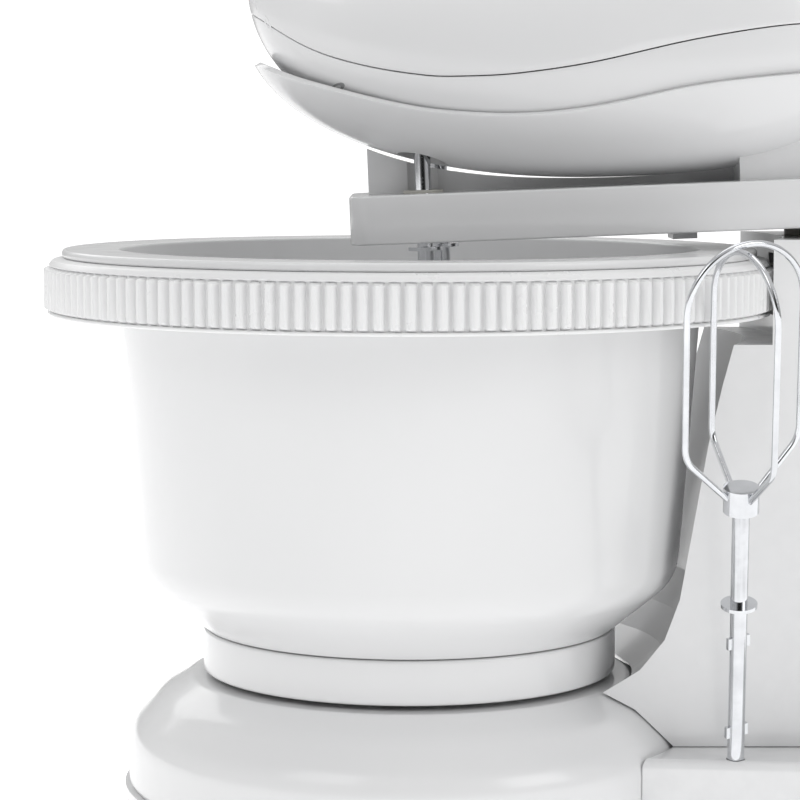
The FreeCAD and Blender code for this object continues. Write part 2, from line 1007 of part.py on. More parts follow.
def make_arm():
    body = new_body("arm_housing")
    pad_outline(body, arm_plan(0), d.arm_bottom, d.arm_height)
    fillet(body, d.arm_corner, upright(d.arm_nose, d.arm_half))
    fillet(
        body,
        2,
        lambda edge: abs(edge.CenterOfMass.z - float(arm_top)) < 0.01
        and edge.CenterOfMass.x < float(d.arm_neck),
    )
    pocket_outline(body, arm_plan(d.wall), d.arm_bottom - 1, d.arm_height + 1 - d.wall)
    side_round(body, "Pad", d.hinge_x, d.hinge_z, d.barrel_radius, d.arm_neck_half * 2)
    bore = d.hinge_pin + d.running
    side_round(body, "Pocket", d.hinge_x, d.hinge_z, bore, d.arm_neck_half * 2 + 2)
    for x, y in ((near_x, near_y), (far_x, far_y)):
        pocket_round(body, x, y, 7.6, arm_top - 6, 8)
    pocket_round(body, latch_x, 0, 3.4, arm_top - 6, 8)
    keep(body, "arm_housing", raked)


def make_arm_cover():
    body = new_body("arm_bottom_cover")
    inset = d.wall + d.gap
    pad_outline(body, arm_plan(inset), d.arm_bottom, 1.8)
    fillet(body, d.arm_corner - inset, upright(d.arm_nose + inset, d.arm_half - inset))
    for x, y in ((near_x, near_y), (far_x, far_y)):
        pocket_round(body, x, y, 7.6, d.arm_bottom - 1, 4)
    pocket_round(body, pinion_x, 0, d.dog_length / 2 + 3.4, d.arm_bottom - 1, 4)
    rib = [(91, -9), (99.5, -9), (99.5, 9), (91, 9)]
    pad_outline(body, rib, d.arm_bottom - 3, 3)
    for x, y in axle_places()[:-1]:
        pad_round(body, x, y, 4.5, d.arm_bottom + 1.8, 1.4)
        pocket_round(body, x, y, d.axle_radius + d.seat_gap, d.arm_bottom - 1, 8)
    keep(body, "arm_bottom_cover", raked)


def train_places():
    """The gears' centres, from the near beater's bush to the output."""
    m = float(d.train_module)
    bush = Vector(float(near_x), float(near_y), 0)
    first = bush + Vector(m * float(d.bush_teeth + d.first_teeth) / 2 + 0.1, 0, 0)
    last = Vector(float(pinion_x), 0, 0)
    steps = [
        d.first_teeth + d.idler_teeth,
        d.idler_teeth * 2,
        d.idler_teeth + d.output_teeth,
    ]
    lengths = [float(step) * m / 2 + 0.1 for step in steps]
    second, third = zigzag(first, last, lengths)
    return [bush, first, second, third, last]


def zigzag(start, end, lengths):
    """Two points that join start to end by three links of these lengths."""
    heading = math.atan2(end.y - start.y, end.x - start.x)
    point = start + Vector(math.cos(heading), math.sin(heading), 0) * lengths[0]
    reach = (end - point).Length
    if reach > lengths[1] + lengths[2]:
        raise RuntimeError("the gear train is too short to reach the pinion")
    cosine = (reach ** 2 + lengths[1] ** 2 - lengths[2] ** 2) / (2 * reach * lengths[1])
    turned_by = heading + math.acos(cosine)
    middle = point + Vector(math.cos(turned_by), math.sin(turned_by), 0) * lengths[1]
    return point, middle


train = train_places()


def axle_places():
    return [(p.x, p.y) for p in train[1:]]


def train_turns():
    """One tooth's angle on each gear, so that every pair meshes at rest."""
    teeth = [d.bush_teeth, d.first_teeth, d.idler_teeth, d.idler_teeth, d.output_teeth]
    turns = [0.0]
    for i in range(1, len(teeth)):
        step = train[i] - train[i - 1]
        direction = math.atan2(step.y, step.x)
        turns.append(
            meshing_turn(float(teeth[i - 1]), turns[-1], float(teeth[i]), direction)
        )
    return turns


turns = train_turns()


def train_gear(node, teeth, place_index, extra=None):
    """A train gear on its axle, with a running bore."""
    width = float(d.train_width)
    bottom = float(d.train_bottom)
    wheel = gear(float(teeth), float(d.train_module), width, turns[place_index], share=0.40)
    wheel.translate(Vector(0, 0, bottom))
    if extra:
        wheel = wheel.fuse(extra)
    wheel = wheel.cut(disc(d.axle_radius + d.running, 40, z=bottom - 10))
    wheel.translate(train[place_index])
    keep(shaped(node, wheel), node, raked)


def bore_with_slots(radius, height, bottom):
    """The round hole and two keyways that a beater's shaft and lugs slide in."""
    half_long = float(d.lug_half + d.gap)
    half_wide = float(d.lug_width) / 2 + float(d.gap)
    hole = disc(radius, height, z=bottom)
    slot = plain_box((-half_long, -half_wide, bottom), (half_long, half_wide, bottom + height))
    return hole.fuse(slot)


def make_beater_bushes():
    """Bushes that carry the beaters through the arm; the near one has the first gear."""
    bottom = float(d.arm_bottom) + 0.3
    height = float(arm_top) - bottom + 1.0
    collar = disc(6.9, height, z=bottom)
    hole = bore_with_slots(bore_radius, height + 4, bottom - 2)
    flange = disc(8.9, 1.2, z=float(d.arm_bottom) + 2.2)
    wheel = gear(
        float(d.bush_teeth), float(d.train_module), float(d.train_width), turns[0], share=0.40
    )
    wheel.translate(Vector(0, 0, float(d.train_bottom)))
    near = collar.fuse([wheel, flange]).cut(hole)
    near.translate(Vector(float(near_x), float(near_y), 0))
    keep(shaped("near_gear_bush", near), "near_gear_bush", raked)
    far = collar.fuse([flange]).cut(hole)
    far.rotate(Vector(0, 0, 0), up, far_phase)
    far.translate(Vector(float(far_x), float(far_y), 0))
    keep(shaped("far_guide_bush", far), "far_guide_bush", raked)


def make_output_gear():
    """The last gear, with the slotted socket that the pinion's tongue turns."""
    bottom = float(d.arm_bottom) - 0.6
    top = float(d.train_bottom)
    socket = disc(d.dog_length / 2 + 2.6, top - bottom, z=bottom)
    width = float(d.train_width)
    wheel = gear(float(d.output_teeth), float(d.train_module), width, turns[4], share=0.40)
    wheel.translate(Vector(0, 0, top))
    half_wide = float(d.dog_width) / 2 + 1.3
    mouth = plain_box((-12, -half_wide, bottom - 1), (12, half_wide, top - 1.2))
    socket = socket.cut(mouth)
    bore = disc(d.axle_radius + d.running, 40, z=top - 1.5)
    whole = wheel.fuse(socket).cut(bore)
    whole.translate(train[4])
    keep(shaped("output_gear", whole), "output_gear", raked)


def make_axles():
    """Fixed axles for the train; the output's hangs from the arm's roof."""
    roof = arm_top - d.wall - 0.1
    axles = []
    for i, (x, y) in enumerate(axle_places()[:-1]):
        height = roof - d.arm_bottom
        axles.append(cylinder(f"axle_{i}", d.axle_radius, height, x, y, d.arm_bottom))
    x, y = axle_places()[-1]
    height = roof - d.train_bottom
    axles.append(cylinder("axle_output", d.axle_radius, height, x, y, d.train_bottom))
    keep(group("gear_axles", axles), "gear_axles", raked)


def make_arm_screws():
    spots = [(-8, -20), (-8, 20), (62, -28), (62, 28), (118, 29), (118, -29)]
    screws = []
    for i, (x, y) in enumerate(spots):
        screws.append(cylinder(f"arm_screw_{i}", 2.6, 1.2, x, y, d.arm_bottom + 1.8))
    keep(group("arm_screws", screws), "arm_screws", raked)


# --- beaters --------------------------------------------------------------------------


def bent_wire(half, depth, corner, neck):
    """A beater loop in the XZ plane: out of the hub, down, and round the bottom."""
    start = Vector(neck, 0, 0)
    shoulder = Vector(half, 0, -half * 0.82)
    low = Vector(half, 0, -(depth - corner))
    points = [start, shoulder, low]
    mirrored = [Vector(-p.x, 0, p.z) for p in reversed(points)]
    bottom = Part.Arc(low, Vector(0, 0, -depth), mirrored[0]).toShape()
    first = rounded_run(points, corner * 0.5)
    second = rounded_run(mirrored, corner * 0.5)
    return Part.Wire(first + [bottom] + second)


def rounded_run(points, radius):
    """Straight edges through three points with the middle one rounded."""
    a, b, c = points
    before = (a - b).normalize()
    after = (c - b).normalize()
    half_angle = before.getAngle(after) / 2
    step = radius / math.tan(half_angle)
    start = b + before * step
    end = b + after * step
    bisector = (before + after).normalize()
    centre = b + bisector * (radius / math.sin(half_angle))
    middle = centre - bisector * radius
    arc = Part.Arc(start, middle, end).toShape()
    return [Part.makeLine(a, start), arc, Part.makeLine(end, c)]


def wire_solid(path, radius):
    start = path.Edges[0].Vertexes[0].Point
    tangent = path.Edges[0].tangentAt(path.Edges[0].FirstParameter)
    section = Part.Wire([Part.makeCircle(radius, start, tangent)])
    return path.makePipeShell([section], True, False)


def beater_shapes():
    """Shaft and wires of one beater, its top end at the origin, hanging down."""
    r = float(d.beater_radius)
    shaft_length = float(d.beater_shaft)
    total = float(d.beater_total)
    hub = float(d.hub_radius)
    stem = disc(r, shaft_length, z=-shaft_length)
    collar = disc(6, 1.2, z=-float(d.beater_flange) - 1.2)
    drum = disc(hub, 8.5, z=-shaft_length - 4)
    lugs = []
    for low in (18.5, 51.5):
        half_long = float(d.lug_half)
        half_wide = float(d.lug_width) / 2
        lugs.append(plain_box((-half_long, -half_wide, -low), (half_long, half_wide, -low + 4)))
    shaft = stem.fuse([collar, drum] + lugs)
    loops = []
    wire = float(d.wire_radius)
    depth = total - shaft_length - wire
    outer = bent_wire(float(d.loop_half) - wire, depth, 20.0, hub - 1.5)
    inner = bent_wire(float(d.inner_loop_half) - wire, depth - 3.2 * wire, 18.0, hub - 1.5)
    loops.append(wire_solid(outer, wire))
    cross = wire_solid(inner, wire)
    cross.rotate(Vector(0, 0, 0), up, 90)
    loops.append(cross)
    for loop in loops:
        loop.translate(Vector(0, 0, -shaft_length))
    loops = [loop.cut(drum) for loop in loops]
    solids = [max(loop.Solids, key=lambda solid: solid.Volume) for loop in loops]
    return shaft, Part.makeCompound(solids)


beater_shaft_shape, beater_wires_shape = beater_shapes()


def make_beater(prefix, placement, turn):
    spin = FreeCAD.Placement(Vector(0, 0, 0), FreeCAD.Rotation(up, turn))
    for shape, node in ((beater_shaft_shape, "shaft"), (beater_wires_shape, "wires")):
        name = f"{prefix}_beater_{node}"
        thing = shaped(name, shape.copy())
        thing.Placement = placement.multiply(spin)
        keep(thing, name, FreeCAD.Placement())


def make_beaters():
    top = float(d.beater_top)
    for prefix, x, y, turn in (
        ("near", near_x, near_y, 0.0),
        ("far", far_x, far_y, far_phase),
    ):
        spot = FreeCAD.Placement(Vector(float(x), float(y), top), FreeCAD.Rotation())
        make_beater(prefix, raked.multiply(spot), turn)
    upended = FreeCAD.Placement(
        Vector(0, 0, 0.4 - float(d.socket_depth)), FreeCAD.Rotation(along, 180)
    )
    foot = shift.multiply(spare_place).multiply(upended)
    make_beater("spare", foot, -float(d.spare_turn))


# the spare stands shaft down in a socket: +Z of this place runs up its axis
spare_place = FreeCAD.Placement(
    Vector(float(d.spare_x), float(d.spare_y), float(d.block_top)),
    FreeCAD.Rotation(along, float(d.spare_lean)).multiply(
        FreeCAD.Rotation(across, -float(d.spare_sway))
    ),
)


# --- head -----------------------------------------------------------------------------

# stations along the head: x, underside, top, half width
stations = [
    (d.head_nose, 279.0, 298.0, 15.0),
    (-44.5, 271.0, 303.0, 24.0),
    (-38.5, 261.5, 307.0, 31.5),
    (-23.0, 249.0, 310.0, 38.5),
    (14.0, 235.0, 312.0, 42.0),
    (55.0, 230.4, 312.0, 43.0),
    (95.0, 230.8, 311.5, 43.0),
    (125.0, 235.4, 310.0, 41.0),
    (145.0, 245.0, 306.0, 36.0),
    (d.head_tail, 257.0, 298.0, 27.0),
]


def egg(x, low, high, half, grow):
    """One upright cross section of the head, grown outwards by grow."""
    middle = (low + high) / 2
    tall = (high - low) / 2 + grow
    wide = half + grow
    spots = []
    for i in range(16):
        angle = 2 * math.pi * i / 16
        c = math.cos(angle)
        s = math.sin(angle)
        y = wide * math.copysign(abs(c) ** 0.8, c)
        z = middle + tall * math.copysign(abs(s) ** 0.8, s)
        spots.append(Vector(x, y, z))
    curve = Part.BSplineCurve()
    curve.interpolate(Points=spots, PeriodicFlag=True)
    return Part.Wire([curve.toShape()])


def head_body(grow):
    """The head's egg shaped body, grown outwards or inwards all over."""
    first = float(stations[0][0])
    last = float(stations[-1][0])
    wires = []
    for x, low, high, half in stations:
        x = float(x)
        share = (x - first) / (last - first)
        shifted = x + grow * (2 * share - 1)
        wires.append(egg(shifted, low, high, half, grow))
    return Part.makeLoft(wires, True, False)


def curtain(points, side):
    """A wide solid under (side -1) or over (side 1) a wavy line along the head."""
    line = Part.BSplineCurve()
    line.interpolate([Vector(x, -80, z) for x, z in points])
    far_z = 150.0 if side < 0 else 420.0
    first = Vector(points[0][0], -80, points[0][1])
    last = Vector(points[-1][0], -80, points[-1][1])
    low_first = Vector(first.x, -80, far_z)
    low_last = Vector(last.x, -80, far_z)
    edges = [
        line.toShape(),
        Part.makeLine(last, low_last),
        Part.makeLine(low_last, low_first),
        Part.makeLine(low_first, first),
    ]
    return Part.Face(Part.Wire(edges)).extrude(Vector(0, 160, 0))


hull_line = [
    (-75, 281.0),
    (-54, 271.8),
    (-40, 265.6),
    (-30, 262.2),
    (-5, 255.0),
    (12, 251.6),
    (38, 249.6),
    (63, 251.2),
    (97, 257.0),
    (128, 259.4),
    (150, 259.5),
    (175, 259.5),
]
part_line = [
    (-75, 303.0),
    (-56, 291.3),
    (-33.5, 276.1),
    (-15.5, 269.1),
    (7, 264.4),
    (20, 263.6),
    (37, 263.8),
    (62, 266.4),
    (97, 272.7),
    (127, 276.2),
    (150, 276.5),
    (175, 276.5),
]


def lowered(points, drop):
    return [(x, z - drop) for x, z in points]


body_outer = head_body(0.0)
body_inner = head_body(-float(d.head_wall))
hull_outer = head_body(float(d.hull_proud))
hull_inner = head_body(float(d.hull_proud) - float(d.head_wall))


def beater_wells(radius, bottom, height):
    first = disc(radius, height, near_x, near_y, bottom)
    return first.fuse(disc(radius, height, far_x, far_y, bottom))


def make_lower_hull():
    skin = hull_outer.cut(hull_inner).common(curtain(hull_line, -1))
    skin = skin.cut(beater_wells(8.6, 215, 40))
    keep(shaped("lower_hull_skin", skin), "head_lower_hull", raked)


def make_middle_band():
    shell = body_outer.cut(body_inner)
    band = shell.common(curtain(lowered(part_line, 0.25), -1))
    band = band.cut(curtain(lowered(hull_line, 9), -1))
    band = band.cut(plain_box((-26.5, -60, 256.5), (-19, -20, 259.5)))
    tail = float(d.head_tail)
    band = band.cut(Part.makeCylinder(5.2, 20, Vector(tail - 10, 0, gland_height), along))
    solids = sorted(band.Solids, key=lambda solid: -solid.Volume)
    keep(shaped("middle_band_skin", solids[0]), "head_middle_band", raked)


handle_path = [
    (-37, 292),
    (-33, 320),
    (-10, 343),
    (30, float(d.handle_top)),
    (75, float(d.handle_top)),
    (118, 343),
    (139, 324),
    (146, 292),
]


def handle_bar(grow):
    """The handle as one bent bar from the nose to the tail."""
    curve = Part.BSplineCurve()
    curve.interpolate([Vector(x, 0, z) for x, z in handle_path])
    edge = curve.toShape()
    start = edge.valueAt(edge.FirstParameter)
    tangent = edge.tangentAt(edge.FirstParameter)
    half = float(d.handle_half) + grow
    ring = Part.Ellipse(Vector(0, 0, 0), half, half * 0.78)
    section = Part.Wire([ring.toShape()])
    frame_turn = FreeCAD.Rotation(across, tangent.cross(across), tangent, "ZXY")
    section.Placement = FreeCAD.Placement(start, frame_turn)
    return Part.Wire([edge]).makePipeShell([section], True, False)


def button_wells(grow):
    """The openings in the handle's top for the selector and the two buttons."""
    wells = []
    for x, length, width in handle_controls:
        low = (x - length / 2 - grow, -width / 2 - grow, 330)
        high = (x + length / 2 + grow, width / 2 + grow, 365)
        wells.append(plain_box(low, high))
    return wells


# along the handle: middle, length, width
handle_controls = [
    (-10.0, 16.0, 14.0),
    (22.0, 30.0, 12.0),
    (58.0, 16.0, 13.0),
]


def make_upper_shell():
    shell = body_outer.cut(body_inner)
    shell = shell.common(curtain(part_line, 1))
    solids = sorted(shell.Solids, key=lambda solid: -solid.Volume)
    keep(shaped("upper_shell_skin", solids[0]), "head_upper_shell", raked)


def make_handle():
    outer = handle_bar(0.0).cut(head_body(0.05))
    inner = handle_bar(-float(d.head_wall))
    hollow = outer.cut(inner)
    hollow = hollow.cut(button_wells(0.4))
    solids = sorted(hollow.Solids, key=lambda solid: -solid.Volume)
    keep(shaped("handle_skin", solids[0]), "handle_shell", raked)


def control_cap(index, top, depth, length=None):
    x, full, width = handle_controls[index]
    length = length or full
    z = top - depth
    cap = plain_box((x - length / 2, -width / 2, z), (x + length / 2, width / 2, top))
    edges = [e for e in cap.Edges if e.CenterOfMass.z > z + 0.5]
    return cap.makeFillet(1.5, edges)


def make_controls():
    high = float(d.handle_top) + float(d.handle_half) * 0.78
    eject = control_cap(0, high + 0.5, 9)
    keep(shaped("eject_cap", eject), "eject_button", raked)
    knob = control_cap(1, high + 3.5, 7, length=14)
    x, full, width = handle_controls[1]
    knob.translate(Vector(-8, 0, 0))
    keep(shaped("speed_knob", knob), "speed_selector", raked)
    turbo = control_cap(2, high + 2.2, 8)
    keep(shaped("turbo_cap", turbo), "turbo_button", raked)


def make_spindles():
    """Each worm wheel with the hollow spindle that grips one beater's shaft."""
    teeth = float(d.wheel_teeth)
    pitch_radius = wheel_pitch
    module = pitch_radius * 2 / teeth
    width = float(d.wheel_width)
    centre = float(d.worm_height)
    for prefix, x, y, side, phase in (
        ("near", near_x, near_y, 1, 0.0),
        ("far", far_x, far_y, -1, far_phase),
    ):
        towards = math.pi / 2 * side
        turn = towards + worm_offset(float(x), side) / pitch_radius * -side
        turn += math.pi / teeth
        wheel = gear(teeth, module, width, turn, share=0.34, tip=0.4, root=0.6)
        wheel.translate(Vector(0, 0, centre - width / 2))
        foot = 241.0
        spindle = disc(d.spindle_radius, centre + 10 - foot, z=foot)
        bore = bore_with_slots(bore_radius, float(d.beater_top) + 1 - foot + 5, foot - 5)
        bore.rotate(Vector(0, 0, 0), up, phase)
        whole = wheel.fuse(spindle).cut(bore)
        whole.translate(Vector(float(x), float(y), 0))
        keep(shaped(f"{prefix}_wheel", whole), f"{prefix}_worm_wheel", raked)


wheel_pitch = float(d.beater_side - d.worm_radius) + 0.35
worm_pitch = 2 * math.pi * wheel_pitch / float(d.wheel_teeth)


def worm_offset(x, side):
    """How far along X the nearest thread lies from a wheel's centre on one side."""
    share = 0.75 if side > 0 else 0.25
    thread = worm_start + worm_pitch * share
    return (thread - x) % worm_pitch


worm_start = -6.0
worm_turns = 11
gland_height = 268


def make_armature():
    """Motor shaft with its worm, the rotor's core, the commutator and the fan."""
    height = float(d.worm_height)
    centre = Vector(0, 0, height)
    shaft = Part.makeCylinder(2.2, 138, Vector(-16, 0, height), along)
    core_radius = float(d.worm_radius) - 0.9
    core_length = worm_pitch * worm_turns + 2
    core = Part.makeCylinder(core_radius, core_length, Vector(-8, 0, height), along)
    thread = worm_thread(core_radius)
    thread.Placement = FreeCAD.Placement(
        Vector(worm_start, 0, height), FreeCAD.Rotation(across, 90)
    )
    keep(shaped("worm_shaft", shaft.fuse([core, thread])), "motor_worm_shaft", raked)
    rotor = Part.makeCylinder(15, 34, Vector(62, 0, height), along)
    for i in range(12):
        slot = plain_box((61, -1, 9), (97, 1, 17))
        slot.rotate(Vector(0, 0, 0), along, 30 * i)
        slot.translate(centre)
        rotor = rotor.cut(slot)
    rotor = rotor.cut(Part.makeCylinder(2.2 + 0.02, 40, Vector(60, 0, height), along))
    keep(shaped("rotor_core_solid", rotor), "rotor_core", raked)
    ring = Part.makeCylinder(7, 10, Vector(104, 0, height), along)
    ring = ring.cut(Part.makeCylinder(2.22, 20, Vector(100, 0, height), along))
    keep(shaped("commutator_ring", ring), "commutator", raked)
    hub = Part.makeCylinder(6, 8, Vector(46, 0, height), along)
    blades = []
    for i in range(9):
        blade = plain_box((46, -0.7, 5), (53, 0.7, 22))
        blade.rotate(Vector(49.5, 0, 12), up, 28)
        blade.rotate(Vector(0, 0, 0), along, 40 * i)
        blade.translate(centre)
        blades.append(blade)
    fan = hub.fuse(blades)
    fan = fan.cut(Part.makeCylinder(2.22, 20, Vector(40, 0, height), along))
    keep(shaped("fan_wheel", fan), "cooling_fan", raked)


def worm_thread(core_radius):
    """The worm's thread about the Z axis, sunk a little into its core."""
    path = Part.makeHelix(worm_pitch, worm_pitch * (worm_turns - 1), core_radius)
    tip = float(d.worm_radius)
    root_half = 0.55
    tip_half = 0.28
    spots = [
        Vector(core_radius - 0.4, 0, -root_half),
        Vector(tip, 0, -tip_half),
        Vector(tip, 0, tip_half),
        Vector(core_radius - 0.4, 0, root_half),
    ]
    section = Part.makePolygon(spots + spots[:1])
    return Part.Wire(path.Edges).makePipeShell([section], True, True)


def make_motor_frame():
    height = float(d.worm_height)
    stator = plain_box((64, -22, height - 20), (94, 22, height + 20))
    stator = stator.cut(Part.makeCylinder(15.8, 40, Vector(60, 0, height), along))
    keep(shaped("stator_stack", stator), "motor_stator", raked)
    bearings = []
    for x in (-15, 117):
        seat = Part.makeCylinder(5, 6, Vector(x, 0, height), along)
        bearings.append(seat.cut(Part.makeCylinder(2.25, 20, Vector(x - 5, 0, height), along)))
    keep(shaped("bearing_pair", Part.makeCompound(bearings)), "motor_bearings", raked)
    brushes = []
    for side in (-1, 1):
        low = 7.2 if side > 0 else -17.2
        brushes.append(plain_box((106, low, height - 3), (112, low + 10, height + 3)))
    keep(shaped("brush_pair", Part.makeCompound(brushes)), "carbon_brushes", raked)
    plate = plain_box((-18, -30, 262), (26, 30, 264))
    for x, y in ((near_x, near_y), (far_x, far_y)):
        plate = plate.cut(disc(d.spindle_radius + 0.08, 10, x, y, 258))
    front = plain_box((-20, -16, 262), (-16, 16, height + 8))
    front = front.cut(Part.makeCylinder(5.02, 20, Vector(-30, 0, height), along))
    front = front.cut(Part.makeCylinder(2.6, 20, Vector(-30, 0, height), along))
    bracket = plate.fuse(front)
    keep(shaped("gearbox_frame", bracket), "gearbox_bracket", raked)
    tail = plain_box((117.5, -20, height - 18), (121.5, 20, height + 18))
    tail = tail.cut(Part.makeCylinder(5.02, 20, Vector(110, 0, height), along))
    keep(shaped("tail_frame", tail), "motor_tail_bracket", raked)
    top = float(d.handle_top)
    switch = plain_box((10, -5, top - 7), (38, 5, top - 3))
    keep(shaped("switch_block", switch), "speed_switch", raked)


def make_cord_gland():
    """The sleeve in the tail that the supply lead would come through."""
    tail = float(d.head_tail)
    sleeve = Part.makeCylinder(5.0, 9, Vector(tail - 4, 0, gland_height), along)
    collar = Part.makeCylinder(7.5, 2, Vector(tail + 0.05, 0, gland_height), along)
    bore = Part.makeCylinder(3.2, 30, Vector(tail - 10, 0, gland_height), along)
    keep(shaped("gland_body", sleeve.fuse(collar).cut(bore)), "cord_gland", raked)


# --- saddle and latch -----------------------------------------------------------------


def make_saddle():
    """The cradle on the arm; its top takes the hull's shape."""
    top = float(arm_top) + float(d.seat_gap)
    cradle = plain_box((-14, -7, top), (146, 7, 262))
    wings = plain_box((113, -24, top), (146, 24, 262))
    seat = head_body(float(d.hull_proud) + 0.05)
    cradle = cradle.fuse(wings).cut(seat)
    cradle = cradle.cut(disc(7.6, 60, near_x, near_y, top - 5))
    cradle = cradle.cut(disc(7.6, 60, far_x, far_y, top - 5))
    solids = sorted(cradle.Solids, key=lambda solid: -solid.Volume)
    keep(shaped("saddle_solid", solids[0]), "mixer_saddle", raked)


def make_mixer_latch():
    """The button behind the cradle that frees the hand mixer."""
    low = float(arm_top) + 3.4
    cap = plain_box((latch_x - 5.5, -11, low), (latch_x + 5.5, 11, low + 5))
    cap = cap.makeFillet(1.2, [e for e in cap.Edges if e.CenterOfMass.z > low + 3])
    stem = disc(3, 6.5, latch_x, 0, low - 6)
    keep(shaped("latch_cap", cap.fuse(stem)), "mixer_release_button", raked)


def main():
    make_bottom_tray()
    make_feet()
    make_drum()
    make_rear_shell()
    make_base_screws()
    make_pivot()
    make_turntable_bush()
    make_turntable()
    make_bowl()
    make_gear_ring()
    make_column()
    make_column_cover()
    make_pinion_bracket()
    make_hinge_pin()
    make_tilt_button()
    make_pinion()
    make_arm()
    make_arm_cover()
    make_axles()
    make_arm_screws()
    make_beater_bushes()
    train_gear("idler_gear_first", d.first_teeth, 1)
    train_gear("idler_gear_second", d.idler_teeth, 2)
    train_gear("idler_gear_third", d.idler_teeth, 3)
    make_output_gear()
    make_beaters()
    make_saddle()
    make_mixer_latch()
    make_lower_hull()
    make_middle_band()
    make_upper_shell()
    make_handle()
    make_controls()
    make_spindles()
    make_armature()
    make_motor_frame()
    make_cord_gland()
    check_and_write()


def check_and_write():
    """Stop on any failed object or bad shape; otherwise write every piece."""
    doc.recompute()
    bad = []
    for thing in doc.Objects:
        if "Invalid" in thing.State or "Error" in thing.State:
            bad.append(f"{thing.Name} {thing.State}")
    for thing in parts:
        if thing.Shape.isNull() or not thing.Shape.isValid() or not thing.Shape.Solids:
            bad.append(f"{thing.Label} has a bad shape")
    if bad:
        raise RuntimeError("; ".join(bad))
    os.makedirs("parts", exist_ok=True)
    for thing in parts:
        thing.Shape.exportStep(os.path.join("parts", f"{thing.Label}.step"))
        box = thing.Shape.BoundBox
        print(thing.Label, len(thing.Shape.Solids), round(thing.Shape.Volume), box)


main()
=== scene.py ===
import json
import math

import bpy
from mathutils import Matrix, Vector


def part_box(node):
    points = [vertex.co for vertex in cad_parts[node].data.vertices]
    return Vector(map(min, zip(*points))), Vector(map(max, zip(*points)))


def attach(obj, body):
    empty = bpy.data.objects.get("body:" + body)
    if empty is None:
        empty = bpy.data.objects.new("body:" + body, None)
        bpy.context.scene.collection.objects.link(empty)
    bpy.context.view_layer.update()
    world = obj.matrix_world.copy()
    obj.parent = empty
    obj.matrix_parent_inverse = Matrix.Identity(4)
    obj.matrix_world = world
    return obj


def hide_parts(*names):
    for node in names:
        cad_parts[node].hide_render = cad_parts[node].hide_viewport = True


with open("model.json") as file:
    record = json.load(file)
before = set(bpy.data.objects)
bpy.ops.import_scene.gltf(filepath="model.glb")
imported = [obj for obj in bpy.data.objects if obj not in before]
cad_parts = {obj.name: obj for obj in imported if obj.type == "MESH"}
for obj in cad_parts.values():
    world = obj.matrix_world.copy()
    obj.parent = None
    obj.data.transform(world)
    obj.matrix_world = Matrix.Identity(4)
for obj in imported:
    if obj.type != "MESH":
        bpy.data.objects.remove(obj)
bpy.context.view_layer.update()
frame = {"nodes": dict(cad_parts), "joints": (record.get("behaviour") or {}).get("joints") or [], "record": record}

nodes = frame["nodes"]
joints = {joint["name"]: joint for joint in frame["joints"]}


def mm(value):
    return value / 1000


# where the stand's parts are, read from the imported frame
ringLow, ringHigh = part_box("gear_ring")
bowlLow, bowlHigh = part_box("bowl")
tableLow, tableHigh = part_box("turntable")
drumLow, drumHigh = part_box("base_drum_shell")
axisX = (ringLow.x + ringHigh.x) / 2          # the bowl's own upright axis
hinge = Vector(joints["arm_tilt"]["pos_m"])
liftWay = Vector(joints["mixer_lift"]["axis"])
rake = math.atan2(-liftWay.x, liftWay.z)      # how far the arm and head lean nose down
hingeReach = hinge.x - axisX
levelToRaked = (
    Matrix.Translation(hinge)
    @ Matrix.Rotation(-rake, 4, "Y")
    @ Matrix.Translation(Vector((-hingeReach, 0, -hinge.z)))
)
levelToStand = Matrix.Translation(Vector((axisX, 0, 0)))


# small tools for modelling by operators

def clearSelection():
    if bpy.context.object and bpy.context.object.mode != "OBJECT":
        bpy.ops.object.mode_set(mode="OBJECT")
    bpy.ops.object.select_all(action="DESELECT")


def makeActive(piece):
    clearSelection()
    piece.select_set(True)
    bpy.context.view_layer.objects.active = piece


def roundCorners(corners, closed, bends=4):      # corners are (across, up, corner radius)
    path = []
    count = len(corners)
    for index, (across, up, radius) in enumerate(corners):
        spot = Vector((across, up))
        if radius == 0 or (not closed and index in (0, count - 1)):
            path.append(spot)
            continue
        before = Vector(corners[index - 1][:2]) - spot
        after = Vector(corners[(index + 1) % count][:2]) - spot
        half = before.angle(after) / 2
        most = 0.48                              # so that two bends on one side never meet
        reach = min(radius / math.tan(half), before.length * most, after.length * most)
        start = spot + before.normalized() * reach
        end = spot + after.normalized() * reach
        for step in range(bends + 1):
            t = step / bends
            path.append(start * (1 - t) ** 2 + spot * 2 * t * (1 - t) + end * t * t)
    return path


def spinProfile(profile, closed, steps, sweep=2 * math.pi):
    clearSelection()
    spots = [Vector((mm(p.x), 0, mm(p.y))) for p in profile]
    if closed:
        spots.append(spots[0].copy())
    bpy.ops.mesh.primitive_plane_add(size=mm(0.1), location=spots[0])
    piece = bpy.context.object
    bpy.ops.object.transform_apply(location=True, rotation=True, scale=True)
    bpy.ops.object.mode_set(mode="EDIT")
    bpy.ops.mesh.select_all(action="SELECT")
    bpy.ops.mesh.merge(type="CENTER")
    for here, there in zip(spots, spots[1:]):
        bpy.ops.mesh.extrude_region_move(TRANSFORM_OT_translate={"value": there - here})
    bpy.ops.mesh.select_all(action="SELECT")
    bpy.ops.mesh.spin(steps=steps, angle=sweep, center=(0, 0, 0), axis=(0, 0, 1))
    bpy.ops.mesh.select_all(action="SELECT")
    bpy.ops.mesh.remove_doubles(threshold=mm(0.01))
    bpy.ops.object.mode_set(mode="OBJECT")
    return piece


def faceOut(piece):
    makeActive(piece)
    bpy.ops.object.mode_set(mode="EDIT")
    bpy.ops.mesh.select_all(action="SELECT")
    bpy.ops.mesh.normals_make_consistent(inside=False)
    bpy.ops.object.mode_set(mode="OBJECT")


